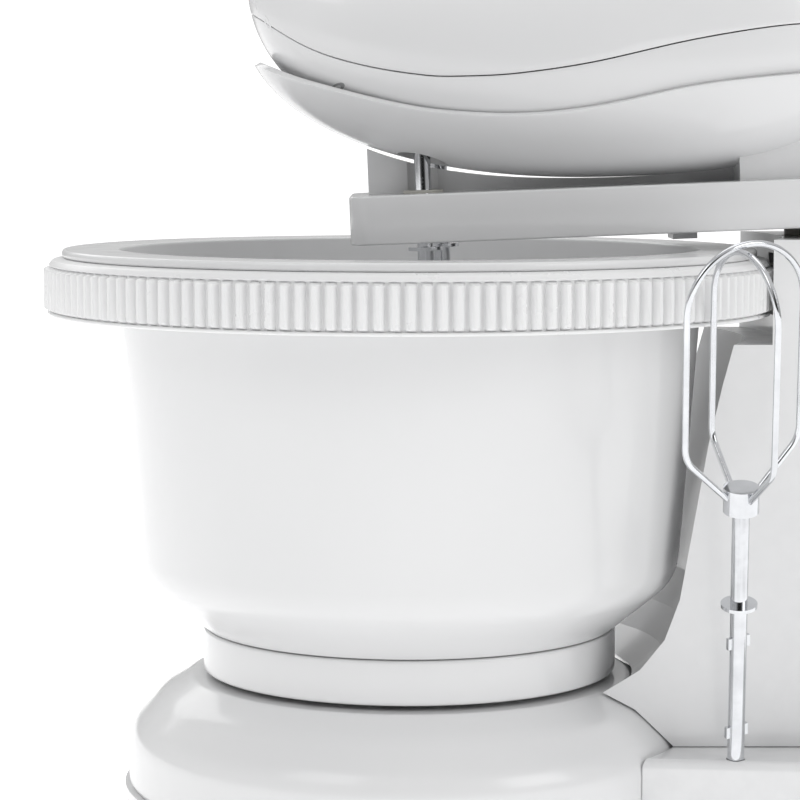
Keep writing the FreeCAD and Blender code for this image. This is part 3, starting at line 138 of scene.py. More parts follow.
def applyModifier(piece, kind, **settings):
    makeActive(piece)
    modifier = piece.modifiers.new(kind.title(), kind)
    for key, value in settings.items():
        setattr(modifier, key, value)
    bpy.ops.object.modifier_apply(modifier=modifier.name)


def finishPiece(piece, name, material, body, replaced, place, angle=32):
    piece.data.transform(place)
    piece.name = name
    piece.data.name = name
    makeActive(piece)
    bpy.ops.object.shade_smooth_by_angle(angle=math.radians(angle))
    piece.data.materials.clear()
    piece.data.materials.append(material)
    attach(piece, body)
    if replaced:
        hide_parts(*replaced)
    clearSelection()


# shared effects

def startGroup(name, inputs, outputs):
    group = bpy.data.node_groups.new(name, "ShaderNodeTree")
    for label, kind, value in inputs:
        socket = group.interface.new_socket(name=label, in_out="INPUT", socket_type=kind)
        if value is not None:
            socket.default_value = value
    for label, kind in outputs:
        group.interface.new_socket(name=label, in_out="OUTPUT", socket_type=kind)
    start = group.nodes.new("NodeGroupInput")
    end = group.nodes.new("NodeGroupOutput")
    return group, start, end


def addNoise(tree, place, scale, detail=3.0, roughness=0.5):
    noise = tree.nodes.new("ShaderNodeTexNoise")
    noise.inputs["Scale"].default_value = scale
    noise.inputs["Detail"].default_value = detail
    noise.inputs["Roughness"].default_value = roughness
    tree.links.new(place, noise.inputs["Vector"])
    return noise.outputs["Fac"]


def addRange(tree, value, low, high, outLow=0.0, outHigh=1.0):
    span = tree.nodes.new("ShaderNodeMapRange")
    for label, number in (("From Min", low), ("From Max", high), ("To Min", outLow), ("To Max", outHigh)):
        span.inputs[label].default_value = number
    tree.links.new(value, span.inputs["Value"])
    return span.outputs["Result"]


def addMath(tree, operation, first, second):
    node = tree.nodes.new("ShaderNodeMath")
    node.operation = operation
    for index, value in enumerate((first, second)):
        if isinstance(value, (int, float)):
            node.inputs[index].default_value = value
        else:
            tree.links.new(value, node.inputs[index])
    return node.outputs["Value"]


def addMix(tree, factor, first, second):
    mix = tree.nodes.new("ShaderNodeMix")
    mix.data_type = "RGBA"
    for label, value in ((0, factor), (6, first), (7, second)):
        if hasattr(value, "is_output"):
            tree.links.new(value, mix.inputs[label])
        else:
            mix.inputs[label].default_value = value
    return mix.outputs[2]


def buildMouldedSkin():          # moulded plastic: faint flow tint, satin patches and a soft orange peel
    group, start, end = startGroup(
        "mouldedSkin",
        [("Tint", "NodeSocketColor", (0.8, 0.8, 0.8, 1)), ("Shade", "NodeSocketColor", (0.7, 0.7, 0.7, 1)),
         ("Smooth", "NodeSocketFloat", 0.12), ("Satin", "NodeSocketFloat", 0.25),
         ("Peel", "NodeSocketFloat", 0.1), ("Grain", "NodeSocketFloat", 900.0)],
        [("Color", "NodeSocketColor"), ("Roughness", "NodeSocketFloat"), ("Normal", "NodeSocketVector")],
    )
    place = group.nodes.new("ShaderNodeTexCoord").outputs["Object"]
    flow = addNoise(group, place, scale=9.0, detail=2.0)
    mix = addMix(group, addRange(group, flow, 0.35, 0.75), start.outputs["Tint"], start.outputs["Shade"])
    group.links.new(mix, end.inputs["Color"])
    smudge = addRange(group, addNoise(group, place, scale=38.0, detail=5.0, roughness=0.65), 0.35, 0.7)
    span = addMath(group, "SUBTRACT", start.outputs["Satin"], start.outputs["Smooth"])
    rough = addMath(group, "ADD", addMath(group, "MULTIPLY", smudge, span), start.outputs["Smooth"])
    group.links.new(rough, end.inputs["Roughness"])
    peel = group.nodes.new("ShaderNodeTexNoise")
    peel.inputs["Detail"].default_value = 2.0
    group.links.new(place, peel.inputs["Vector"])
    group.links.new(start.outputs["Grain"], peel.inputs["Scale"])
    bump = group.nodes.new("ShaderNodeBump")
    bump.inputs["Distance"].default_value = mm(0.06)
    group.links.new(start.outputs["Peel"], bump.inputs["Strength"])
    group.links.new(peel.outputs["Fac"], bump.inputs["Height"])
    group.links.new(bump.outputs["Normal"], end.inputs["Normal"])
    return group


def buildEdgeWear():             # a mask of rubbed edges and one of the hollows, which plastics colour darker and metals stain
    group, start, end = startGroup(
        "edgeWear",
        [("Reach", "NodeSocketFloat", 0.5), ("Speck", "NodeSocketFloat", 160.0)],
        [("Edge", "NodeSocketFloat"), ("Hollow", "NodeSocketFloat")],
    )
    geometry = group.nodes.new("ShaderNodeNewGeometry")
    place = group.nodes.new("ShaderNodeTexCoord").outputs["Object"]
    speck = group.nodes.new("ShaderNodeTexNoise")
    speck.inputs["Detail"].default_value = 4.0
    group.links.new(place, speck.inputs["Vector"])
    group.links.new(start.outputs["Speck"], speck.inputs["Scale"])
    edge = addRange(group, geometry.outputs["Pointiness"], 0.54, 0.62)
    hollow = addRange(group, geometry.outputs["Pointiness"], 0.47, 0.40)
    broken = addRange(group, speck.outputs["Fac"], 0.4, 0.65)
    reach = addMath(group, "MULTIPLY", broken, start.outputs["Reach"])
    group.links.new(addMath(group, "MULTIPLY", edge, reach), end.inputs["Edge"])
    group.links.new(addMath(group, "MULTIPLY", hollow, reach), end.inputs["Hollow"])
    return group


def buildMetalGrain():           # drawn or turned metal: fine lines along one way and cloudy sheen
    group, start, end = startGroup(
        "metalGrain",
        [("Light", "NodeSocketColor", (0.8, 0.8, 0.8, 1)), ("Dark", "NodeSocketColor", (0.5, 0.5, 0.5, 1)),
         ("Smooth", "NodeSocketFloat", 0.05), ("Dull", "NodeSocketFloat", 0.2),
         ("Line Depth", "NodeSocketFloat", 0.2)],
        [("Color", "NodeSocketColor"), ("Roughness", "NodeSocketFloat"), ("Normal", "NodeSocketVector")],
    )
    place = group.nodes.new("ShaderNodeTexCoord").outputs["Object"]
    stretch = group.nodes.new("ShaderNodeMapping")
    stretch.inputs["Scale"].default_value = (1.0, 1.0, 0.08)
    group.links.new(place, stretch.inputs["Vector"])
    lines = addNoise(group, stretch.outputs["Vector"], scale=1400.0, detail=4.0, roughness=0.6)
    cloud = addNoise(group, place, scale=55.0, detail=4.0, roughness=0.6)
    mix = addMix(group, addRange(group, cloud, 0.35, 0.75), start.outputs["Light"], start.outputs["Dark"])
    group.links.new(mix, end.inputs["Color"])
    span = addMath(group, "SUBTRACT", start.outputs["Dull"], start.outputs["Smooth"])
    patches = addRange(group, addMath(group, "MULTIPLY", cloud, lines), 0.12, 0.42)
    rough = addMath(group, "ADD", addMath(group, "MULTIPLY", patches, span), start.outputs["Smooth"])
    group.links.new(rough, end.inputs["Roughness"])
    bump = group.nodes.new("ShaderNodeBump")
    bump.inputs["Distance"].default_value = mm(0.03)
    group.links.new(start.outputs["Line Depth"], bump.inputs["Strength"])
    group.links.new(lines, bump.inputs["Height"])
    group.links.new(bump.outputs["Normal"], end.inputs["Normal"])
    return group


mouldedSkin = buildMouldedSkin()
edgeWear = buildEdgeWear()
metalGrain = buildMetalGrain()


def useGroup(tree, group, **values):
    node = tree.nodes.new("ShaderNodeGroup")
    node.node_tree = group
    for label, value in values.items():
        node.inputs[label].default_value = value
    return node


def startMaterial(name):
    material = bpy.data.materials.new(name)
    material.use_nodes = True
    tree = material.node_tree
    return material, tree, tree.nodes["Principled BSDF"]


hollowDarkShare = 0.72                # how bright hollows and rubbed edges are beside the colour around them
rubbedShare = 1.06
stainShare = 0.4


def plastic(name, look):
    material, tree, shader = startMaterial(name)
    skin = useGroup(tree, mouldedSkin, Tint=look["tint"] + (1,), Shade=look["shade"] + (1,),
                    Smooth=look["smooth"], Satin=look["satin"], Peel=look["peel"], Grain=look["grain"])
    wear = useGroup(tree, edgeWear, Reach=look["wear"])
    # the hollows, found by pointiness, are coloured darker than the skin around them
    hollowColour = tuple(hollowDarkShare * part for part in look["shade"]) + (1,)
    rubbed = tuple(min(1.0, rubbedShare * part) for part in look["tint"]) + (1,)
    hollowsDarkened = addMix(tree, wear.outputs["Hollow"], skin.outputs["Color"], hollowColour)
    worn = addMix(tree, wear.outputs["Edge"], hollowsDarkened, rubbed)
    tree.links.new(worn, shader.inputs["Base Color"])
    tree.links.new(skin.outputs["Roughness"], shader.inputs["Roughness"])
    tree.links.new(skin.outputs["Normal"], shader.inputs["Normal"])
    shader.inputs["IOR"].default_value = 1.5
    shader.inputs["Coat Weight"].default_value = look["coat"]
    shader.inputs["Coat Roughness"].default_value = 0.06
    return material


def metal(name, look):
    material, tree, shader = startMaterial(name)
    grain = useGroup(tree, metalGrain, Light=look["light"] + (1,), Dark=look["dark"] + (1,),
                     Smooth=look["smooth"], Dull=look["dull"])
    grain.inputs["Line Depth"].default_value = look["lines"]
    wear = useGroup(tree, edgeWear, Reach=look["wear"])
    stain = tuple(stainShare * part for part in look["dark"]) + (1,)
    stained = addMix(tree, wear.outputs["Hollow"], grain.outputs["Color"], stain)
    tree.links.new(stained, shader.inputs["Base Color"])
    tree.links.new(grain.outputs["Roughness"], shader.inputs["Roughness"])
    tree.links.new(grain.outputs["Normal"], shader.inputs["Normal"])
    shader.inputs["Metallic"].default_value = 1.0
    return material


whiteLook = {"tint": (0.775, 0.777, 0.781), "shade": (0.74, 0.743, 0.75), "smooth": 0.14, "satin": 0.24,
             "peel": 0.12, "grain": 420.0, "wear": 0.35, "coat": 0.25}
bowlLook = {"tint": (0.755, 0.757, 0.761), "shade": (0.72, 0.723, 0.728), "smooth": 0.16, "satin": 0.27,
            "peel": 0.14, "grain": 380.0, "wear": 0.3, "coat": 0.2}
ringLook = {"tint": (0.82, 0.822, 0.824), "shade": (0.79, 0.792, 0.796), "smooth": 0.26, "satin": 0.36,
            "peel": 0.18, "grain": 700.0, "wear": 0.4, "coat": 0.05}
greyLook = {"tint": (0.33, 0.335, 0.34), "shade": (0.27, 0.275, 0.28), "smooth": 0.3, "satin": 0.45,
            "peel": 0.35, "grain": 1500.0, "wear": 0.5, "coat": 0.0}
nylonLook = {"tint": (0.62, 0.61, 0.57), "shade": (0.52, 0.51, 0.46), "smooth": 0.34, "satin": 0.5,
             "peel": 0.3, "grain": 1200.0, "wear": 0.6, "coat": 0.0}
carbonLook = {"tint": (0.03, 0.03, 0.032), "shade": (0.012, 0.012, 0.013), "smooth": 0.35, "satin": 0.6,
              "peel": 0.5, "grain": 2000.0, "wear": 0.6, "coat": 0.0}
rubberLook = {"tint": (0.55, 0.55, 0.55), "shade": (0.45, 0.45, 0.45), "smooth": 0.6, "satin": 0.8,
              "peel": 0.6, "grain": 2600.0, "wear": 0.5, "coat": 0.0}
chromeLook = {"light": (0.7, 0.71, 0.73), "dark": (0.55, 0.56, 0.58), "smooth": 0.03, "dull": 0.12,
              "lines": 0.08, "wear": 0.5}
steelLook = {"light": (0.56, 0.56, 0.58), "dark": (0.4, 0.4, 0.42), "smooth": 0.2, "dull": 0.42,
             "lines": 0.5, "wear": 0.7}
copperLook = {"light": (0.78, 0.43, 0.24), "dark": (0.52, 0.26, 0.14), "smooth": 0.2, "dull": 0.45,
              "lines": 0.4, "wear": 0.7}

finishes = {
    "white_shell": plastic("whiteShell", whiteLook),
    "bowl_plastic": plastic("bowlPlastic", bowlLook),
    "ring_plastic": plastic("ringPlastic", ringLook),
    "grey_trim": plastic("greyTrimAndSlotShade", greyLook),
    "inner_plastic": plastic("naturalNylon", nylonLook),
    "dark_carbon": plastic("darkCarbon", carbonLook),
    "foot_rubber": plastic("footRubber", rubberLook),
    "chromed_steel": metal("chromedSteel", chromeLook),
    "plain_steel": metal("turnedSteel", steelLook),
    "copper_brass": metal("copperBars", copperLook),
}

nodeSlots = {part["node"]: part["material_slot"] for part in frame["record"]["subparts"]}
for name, node in nodes.items():
    finish = finishes[nodeSlots[name]]
    if not node.data.materials:
        node.data.materials.append(finish)
    for slot in node.material_slots:
        slot.material = finish
print("finishes set on", len(nodes), "frame nodes")


# bowl, gear ring, turntable and drum: profiles spun about the bowl's axis

bowlShape = {"foot": 69.5, "footTop": 65.8, "step": 72.5, "shoulder": 94.6, "shoulderUp": 84, "top": 103,
             "wall": 2.4, "flangeUp": 195.6, "steps": 176}


def buildBowl():
    s = bowlShape
    low = bowlLow.z * 1000
    high = bowlHigh.z * 1000
    rim = (bowlHigh.x - bowlLow.x) * 500
    corners = [
        (0, low, 0), (s["foot"], low, 1.2), (s["foot"], s["footTop"], 0.3), (s["step"], s["footTop"], 1.5),
        (s["shoulder"], s["shoulderUp"], 17), (s["top"], s["flangeUp"] - 1, 2.2), (rim, s["flangeUp"], 1.0),
        (rim, high, 1.4), (s["top"] - s["wall"] + 0.4, high, 1.3),
        (s["shoulder"] - s["wall"], s["shoulderUp"] + 1, 14),
        (s["foot"] - s["wall"], s["footTop"] + 2.2, 2.0),
        (s["foot"] - s["wall"], low + s["wall"], 3.5), (0, low + s["wall"], 0),
    ]
    bowl = spinProfile(roundCorners(corners, closed=False, bends=6), False, s["steps"])
    faceOut(bowl)
    finishPiece(bowl, "bowlShell", finishes["bowl_plastic"], "bowl_set", ["bowl"],
                levelToStand, angle=40)


ringShape = {"teeth": 160, "valley": 124.6, "inner": 119.8, "seat": 103.4, "low": 177.0, "high": 193.0,
             "lip": 0.8, "collar": 195.5, "crestGap": 0.02, "copies": (5, 2, 2, 2, 2, 2),
             "rise": (0, 0.1, 0.72, 0.97, 1.0, 0.97, 0.72, 0.1, 0)}


def buildGearRing():
    s = ringShape
    crest = (ringHigh.x - ringLow.x) * 500 - s["crestGap"]
    valley = s["valley"]
    corners = [
        (s["inner"], s["low"] - s["lip"], 0.4), (valley + 1.5, s["low"] - s["lip"], 0.5),
        (valley + 1.5, s["low"] + 0.2, 0.4), (valley, s["low"] + 0.5, 0), (valley, s["low"] + 1.5, 0),
        (valley, s["high"] - 1.3, 0), (valley, s["high"] - 0.4, 0), (valley + 1.2, s["high"], 0.6),
        (valley - 0.3, s["collar"] - 0.7, 1.2), (valley - 3.5, s["collar"], 0.6), (s["seat"], s["collar"], 0),
        (s["seat"], s["high"] - 2.2, 0), (s["inner"], s["high"] - 2.2, 0.6),
    ]
    columns = len(s["rise"]) - 1
    pitch = 2 * math.pi / s["teeth"]
    ring = spinProfile(roundCorners(corners, closed=True, bends=3), True, columns, pitch)
    for vertex in ring.data.vertices:            # one rib rises between two valleys
        up = vertex.co.z * 1000
        radius = Vector(vertex.co[:2]).length * 1000
        if s["low"] + 1 < up < s["high"] - 1 and abs(radius - valley) < 0.05:
            turn = abs(math.atan2(vertex.co.y, vertex.co.x))
            rise = s["rise"][min(columns, round(turn / pitch * columns))]
            scale = (valley + (crest - valley) * rise) / radius
            vertex.co.x *= scale
            vertex.co.y *= scale
    makeActive(ring)
    bpy.ops.object.mode_set(mode="EDIT")
    count = 1
    for doubles in s["copies"]:                  # the first rib is copied round the hoop
        bpy.ops.mesh.select_all(action="SELECT")
        bpy.ops.mesh.duplicate()
        for extra in range(1, doubles):
            bpy.ops.transform.rotate(value=pitch * count, orient_axis="Z", center_override=(0, 0, 0))
            if extra < doubles - 1:
                bpy.ops.mesh.duplicate()
        count *= doubles
    bpy.ops.mesh.select_all(action="SELECT")
    bpy.ops.mesh.remove_doubles(threshold=mm(0.02))
    bpy.ops.object.mode_set(mode="OBJECT")
    faceOut(ring)
    print("gear ring ribs:", count, "faces:", len(ring.data.polygons))
    ribOnPinion = Matrix.Rotation(pitch / 2, 4, "Z")             # a rib points at the pinion's gap
    finishPiece(ring, "ribbedRing", finishes["ring_plastic"], "bowl_set",
                ["gear_ring"], levelToStand @ ribOnPinion, angle=38)


tableShape = {"bore": 7.06, "hub": 9.6, "hubLow": 46.7, "web": 51.3, "wall": 2.5, "skirt": 1, "seatGap": 0.02,
              "cupGap": 0.3, "steps": 160}


def buildTurntable():
    s = tableShape
    outer = (tableHigh.x - tableLow.x) * 500
    top = tableHigh.z * 1000
    floor = bowlLow.z * 1000 - s["seatGap"]
    cup = bowlShape["foot"] + s["cupGap"]
    skirt = s["web"] - s["skirt"]
    corners = [
        (0, s["web"], 0), (s["bore"], s["web"], 0), (s["bore"], s["hubLow"], 0.3),
        (s["hub"], s["hubLow"], 0.4),
        (s["hub"], s["web"], 0.8), (outer - s["wall"], s["web"], 0.5), (outer - s["wall"], skirt, 0.3),
        (outer, skirt, 1.2), (outer, top, 1.1), (cup, top, 0.4), (cup, floor, 0.2), (0, floor, 0),
    ]
    table = spinProfile(roundCorners(corners, closed=False, bends=5), False, s["steps"])
    faceOut(table)
    finishPiece(table, "turntableCup", finishes["white_shell"], "bowl_set", ["turntable"],
                levelToStand)


drumShape = {"hole": 15, "top": 77.5, "topUp": 48.5, "slope": 88, "slopeUp": 42.5, "shoulderUp": 30,
             "wall": 2.5, "steps": 176}


def buildDrum():
    s = drumShape
    outer = (drumHigh.x - drumLow.x) * 500
    low = drumLow.z * 1000
    wall = s["wall"]
    corners = [
        (s["hole"], s["topUp"] - wall, 0.3), (s["top"] - 2, s["topUp"] - wall, 3),
        (s["slope"] - wall, s["slopeUp"] - wall, 10), (outer - wall, s["shoulderUp"] - wall, 6),
        (outer - wall, low, 0.4), (outer - 0.9, low, 0.3), (outer - 0.9, low + 1.1, 0.2),
        (outer, low + 1.5, 0.6),
        (outer, s["shoulderUp"], 15), (s["slope"], s["slopeUp"], 22), (s["top"], s["topUp"], 5),
        (s["hole"], s["topUp"], 0.4),
    ]
    drum = spinProfile(roundCorners(corners, closed=True, bends=7), True, s["steps"])
    faceOut(drum)
    finishPiece(drum, "baseDrum", finishes["white_shell"], "stand", ["base_drum_shell"],
                levelToStand)


# head: three shells wrapped on one egg, each between its own lines

eggBody = {"front": 128.0, "back": 82.0, "noseUp": 298.0, "tailUp": 278.0, "low": 230.4, "high": 312.0,
           "half": 43.0}
eggHull = {"front": 130.5, "back": 85.0, "noseUp": 287.0, "tailUp": 278.0, "low": 227.4, "high": 315.0,
           "half": 46.0}
eggMiddle = 75.0
headRounding = {"lowFront": 2.15, "lowBack": 3.0, "highFront": 4.0, "highBack": 3.0, "halfFront": 3.4,
                "halfBack": 4.0, "section": 0.8}
# knots (along, up) of the two lines between the shells
hullLipLine = [(-75, 281), (-54, 271.8), (-40, 265.6), (-30, 262.2), (-5, 255), (12, 251.6), (38, 249.6),
               (63, 251.2), (97, 257), (128, 259.4), (150, 259.5), (175, 259.5)]
shellPartLine = [(-75, 303), (-56, 291.3), (-33.5, 276.1), (-15.5, 269.1), (7, 264.4), (20, 263.6),
                 (37, 263.8), (62, 266.4), (97, 272.7), (127, 276.2), (150, 276.5), (175, 276.5)]


def lineHeight(knots, x):                        # a smooth line through its knots
    x = min(max(x, knots[0][0]), knots[-1][0])
    spot = 0
    while spot < len(knots) - 2 and x > knots[spot + 1][0]:
        spot += 1
    (x0, z0), (x1, z1) = knots[spot], knots[spot + 1]
    before = knots[max(spot - 1, 0)]
    after = knots[min(spot + 2, len(knots) - 1)]
    slope0 = (z1 - before[1]) / (x1 - before[0])
    slope1 = (after[1] - z0) / (after[0] - x0)
    span = x1 - x0
    t = (x - x0) / span
    return (z0 * (2 * t ** 3 - 3 * t ** 2 + 1) + z1 * (3 * t ** 2 - 2 * t ** 3)
            + slope0 * span * (t ** 3 - 2 * t ** 2 + t) + slope1 * span * (t ** 3 - t ** 2))


def eggSection(egg, x):
    front = x < eggMiddle
    side = "Front" if front else "Back"
    reach = egg["front"] if front else egg["back"]
    tip = egg["noseUp"] if front else egg["tailUp"]
    t = min(abs(x - eggMiddle) / reach, 1.0)

    def fullness(kind):
        power = headRounding[kind + side]
        return (1 - t ** power) ** (1 / power)

    low = tip - (tip - egg["low"]) * fullness("low")
    high = tip + (egg["high"] - tip) * fullness("high")
    return low, high, egg["half"] * fullness("half")


def eggPoint(egg, x, angle):
    low, high, half = eggSection(egg, x)
    power = headRounding["section"]
    c = math.cos(angle)
    s = math.sin(angle)
    y = half * math.copysign(abs(c) ** power, c)
    z = (low + high) / 2 + (high - low) / 2 * math.copysign(abs(s) ** power, s)
    return Vector((mm(x), mm(y), mm(z)))


def angleAt(egg, x, z):                          # the angle on the section where it passes a height
    low, high, half = eggSection(egg, x)
    tall = max((high - low) / 2, 0.001)
    share = max(-1.0, min(1.0, (z - (low + high) / 2) / tall))
    return math.asin(math.copysign(abs(share) ** (1 / headRounding["section"]), share))


def wrapGrid(rows, columns, place):              # a flat grid laid onto a surface, row by row
    clearSelection()
    bpy.ops.mesh.primitive_grid_add(x_subdivisions=rows, y_subdivisions=columns, size=2)
    piece = bpy.context.object
    for vertex in piece.data.vertices:
        vertex.co = place((vertex.co.x + 1) / 2, (vertex.co.y + 1) / 2)
    makeActive(piece)
    bpy.ops.object.mode_set(mode="EDIT")
    bpy.ops.mesh.select_all(action="SELECT")
    bpy.ops.mesh.remove_doubles(threshold=mm(0.02))
    bpy.ops.mesh.select_all(action="SELECT")
    bpy.ops.mesh.normals_make_consistent(inside=False)
    bpy.ops.object.mode_set(mode="OBJECT")
    return piece


def easeEnds(share, start, end):
    return start + (end - start) * (1 - math.cos(math.pi * share)) / 2


def meetingPoint(egg, line, drop, start, end):   # where the egg's underside meets a line
    for _ in range(40):
        middle = (start + end) / 2
        if eggSection(egg, middle)[0] > lineHeight(line, middle) - drop:
            start = middle
        else:
            end = middle
    return (start + end) / 2


def thicken(piece, wall, rounding):
    applyModifier(piece, "SOLIDIFY", thickness=mm(wall), offset=-1.0, use_even_offset=False)
    applyModifier(piece, "BEVEL", width=mm(rounding), segments=2, limit_method="ANGLE",
                  angle_limit=math.radians(55))


def cutRound(piece, radius, x, y, low, high):
    clearSelection()
    bpy.ops.mesh.primitive_cylinder_add(vertices=40, radius=mm(radius), depth=mm(high - low),
                                        location=(mm(x), mm(y), mm((low + high) / 2)))
    drill = bpy.context.object
    applyModifier(piece, "BOOLEAN", object=drill, operation="DIFFERENCE", solver="EXACT")
    bpy.data.objects.remove(drill)


# the far well is misplaced: the far beater stands at (11, 12.4), so it passes through solid skin
hullShape = {"wall": 2.2, "edge": 0.7, "rows": 150, "columns": 72, "wells": ((5, -12.4), (-1, 12.4)),
             "well": 8.6, "drillLow": 215, "drillHigh": 255}


def buildHull():
    s = hullShape
    front = meetingPoint(eggHull, hullLipLine, 0, -eggHull["front"] + eggMiddle + 0.5, 0)
    back = meetingPoint(eggHull, hullLipLine, 0, eggMiddle + eggHull["back"] - 0.2, 100)

    def place(along, across):
        x = easeEnds(along, front, back)
        lip = angleAt(eggHull, x, lineHeight(hullLipLine, x))
        angle = (-math.pi - lip) + (2 * lip + math.pi) * across
        return eggPoint(eggHull, x, angle)

    hull = wrapGrid(s["rows"], s["columns"], place)
    thicken(hull, s["wall"], s["edge"])
    for x, y in s["wells"]:
        cutRound(hull, s["well"], x, y, s["drillLow"], s["drillHigh"])
    finishPiece(hull, "headHull", finishes["white_shell"], "hand_mixer",
                ["head_lower_hull"], levelToRaked)


bandShape = {"wall": 2.0, "edge": 0.3, "rows": 150, "columns": 22, "tuck": 6.0, "gap": 0.45}


def buildBand():
    s = bandShape
    front = meetingPoint(eggBody, shellPartLine, s["gap"], -eggBody["front"] + eggMiddle + 0.05, 0)
    back = eggMiddle + eggBody["back"] - 0.3

    def onSide(side):
        def place(along, up):
            x = easeEnds(along, front, back)
            low = angleAt(eggBody, x, lineHeight(hullLipLine, x) - s["tuck"])
            high = angleAt(eggBody, x, lineHeight(shellPartLine, x) - s["gap"])
            spot = eggPoint(eggBody, x, low + (high - low) * up)
            spot.y *= side
            return spot
        return place

    band = wrapGrid(s["rows"], s["columns"], onSide(-1))
    other = wrapGrid(s["rows"], s["columns"], onSide(1))
    makeActive(band)
    other.select_set(True)
    bpy.ops.object.join()
    bpy.ops.object.mode_set(mode="EDIT")
    bpy.ops.mesh.select_all(action="SELECT")
    bpy.ops.mesh.remove_doubles(threshold=mm(0.03))
    bpy.ops.mesh.normals_make_consistent(inside=False)
    bpy.ops.object.mode_set(mode="OBJECT")
    thicken(band, s["wall"], s["edge"])
    finishPiece(band, "headBand", finishes["white_shell"], "hand_mixer",
                ["head_middle_band"], levelToRaked)


upperShape = {"wall": 2.2, "edge": 0.35, "rows": 150, "columns": 84}


def buildUpper():
    s = upperShape
    front = -eggBody["front"] + eggMiddle
    back = eggMiddle + eggBody["back"]

    def place(along, across):
        x = easeEnds(along, front, back)
        low = angleAt(eggBody, x, lineHeight(shellPartLine, x))
        return eggPoint(eggBody, x, low + (math.pi - 2 * low) * across)

    upper = wrapGrid(s["rows"], s["columns"], place)
    thicken(upper, s["wall"], s["edge"])
    finishPiece(upper, "headUpper", finishes["white_shell"], "hand_mixer",
                ["head_upper_shell"], levelToRaked)


# small details on the head: the slot in the band, a dark grey dish of painted shade, and the two vents on the nose

slotShape = {"x": -22.8, "long": 7.4, "tall": 3.0, "lean": 24, "deep": 1.2, "lift": 1.4}
ventShapes = [
    {"name": "noseVentLower", "x": -45.6, "up": 284.0, "long": 2.6, "tall": 6.6, "lean": 22,
     "deep": 0.5},
    {"name": "noseVentUpper", "x": -49.2, "up": 290.0, "long": 1.9, "tall": 4.4, "lean": 18,
     "deep": 0.5},
]


def surfaceSpot(egg, x, up):                     # a point on the near side, and its outward way
    angle = math.pi - angleAt(egg, x, up)
    spot = eggPoint(egg, x, angle)
    ahead = eggPoint(egg, x + 0.4, math.pi - angleAt(egg, x + 0.4, up)) - spot
    above = eggPoint(egg, x, math.pi - angleAt(egg, x, up + 0.4)) - spot
    outward = ahead.cross(above)
    spot.y = -abs(spot.y)
    outward.y = -abs(outward.y)
    return spot, outward.normalized()


def ovalDish(shape, up):                         # an oval dish with a rim, laid into skin that is not cut
    spot, outward = surfaceSpot(eggBody, shape["x"], up)
    clearSelection()
    bpy.ops.mesh.primitive_circle_add(vertices=36, radius=mm(0.5), fill_type="NGON")
    dish = bpy.context.object
    bpy.ops.object.mode_set(mode="EDIT")
    bpy.ops.mesh.select_all(action="SELECT")
    bpy.ops.mesh.inset(thickness=mm(0.09))
    bpy.ops.transform.translate(value=(0, 0, mm(-shape["deep"])))
    bpy.ops.mesh.inset(thickness=mm(0.05))
    bpy.ops.object.mode_set(mode="OBJECT")
    applyModifier(dish, "SOLIDIFY", thickness=mm(0.25), offset=1.0)
    side = Vector((0, 0, 1)).cross(outward).normalized()
    raised = outward.cross(side).normalized()
    frameTurn = Matrix((side, raised, outward)).transposed().to_4x4()
    leanTurn = Matrix.Rotation(math.radians(shape["lean"]), 4, "Z")
    stretch = Matrix.Diagonal((shape["long"], shape["tall"], 1, 1))
    dish.data.transform(Matrix.Translation(spot) @ frameTurn @ leanTurn @ stretch)
    return dish


def buildHeadDetails():
    # the slot's dish sits on skin that is not cut, and its dark grey colour is painted shade standing in for the
    # opening
    slot = ovalDish(slotShape, lineHeight(hullLipLine, slotShape["x"]) + slotShape["lift"])
    finishPiece(slot, "bandSlotPaintedShade", finishes["grey_trim"], "hand_mixer", [], levelToRaked)
    for vent in ventShapes:
        dish = ovalDish(vent, vent["up"])
        finishPiece(dish, vent["name"], finishes["white_shell"], "hand_mixer", [],
                    levelToRaked)


# arm: a long tapered lid with soft edges, drawn level and then leant with the hinge

armShape = {"nose": -20.5, "half": 35.0, "neck": 158.0, "neckHalf": 30.3, "low": 208.0, "tall": 16.6,
            "corner": 9.0, "crown": 2.6, "wall": 2.4, "barrel": 8.2, "hinge": 178.0,
            "hingeUp": 216.3, "pin": 3.06, "well": 7.6, "latchHole": 3.4, "drillBelow": 8, "drillAbove": 4,
            "hollowBelow": 8}


def raisedOutline(outline, low, high):           # an outline filled and pulled up
    clearSelection()
    bpy.ops.mesh.primitive_plane_add(size=mm(0.1), location=(mm(outline[0].x), mm(outline[0].y), mm(low)))
    piece = bpy.context.object
    bpy.ops.object.transform_apply(location=True, rotation=True, scale=True)
    bpy.ops.object.mode_set(mode="EDIT")
    bpy.ops.mesh.select_all(action="SELECT")
    bpy.ops.mesh.merge(type="CENTER")
    for here, there in zip(outline, outline[1:] + outline[:1]):
        way = (mm(there.x - here.x), mm(there.y - here.y), 0)
        bpy.ops.mesh.extrude_region_move(TRANSFORM_OT_translate={"value": way})
    bpy.ops.mesh.select_all(action="SELECT")
    bpy.ops.mesh.remove_doubles(threshold=mm(0.01))
    bpy.ops.mesh.edge_face_add()
    bpy.ops.mesh.extrude_region_move(TRANSFORM_OT_translate={"value": (0, 0, mm(high - low))})
    bpy.ops.mesh.select_all(action="SELECT")
    bpy.ops.mesh.normals_make_consistent(inside=False)
    bpy.ops.object.mode_set(mode="OBJECT")
    return piece


def armOutline(inset):
    s = armShape
    corners = [
        (s["nose"] + inset, -(s["half"] - inset), s["corner"]), (s["neck"] - inset, -(s["half"] - inset), 6),
        (s["neck"] - inset, -(s["neckHalf"] - inset), 2), (s["hinge"] - inset, -(s["neckHalf"] - inset), 1),
        (s["hinge"] - inset, s["neckHalf"] - inset, 1), (s["neck"] - inset, s["neckHalf"] - inset, 2),
        (s["neck"] - inset, s["half"] - inset, 6), (s["nose"] + inset, s["half"] - inset, s["corner"]),
    ]
    return roundCorners(corners, closed=True, bends=8)


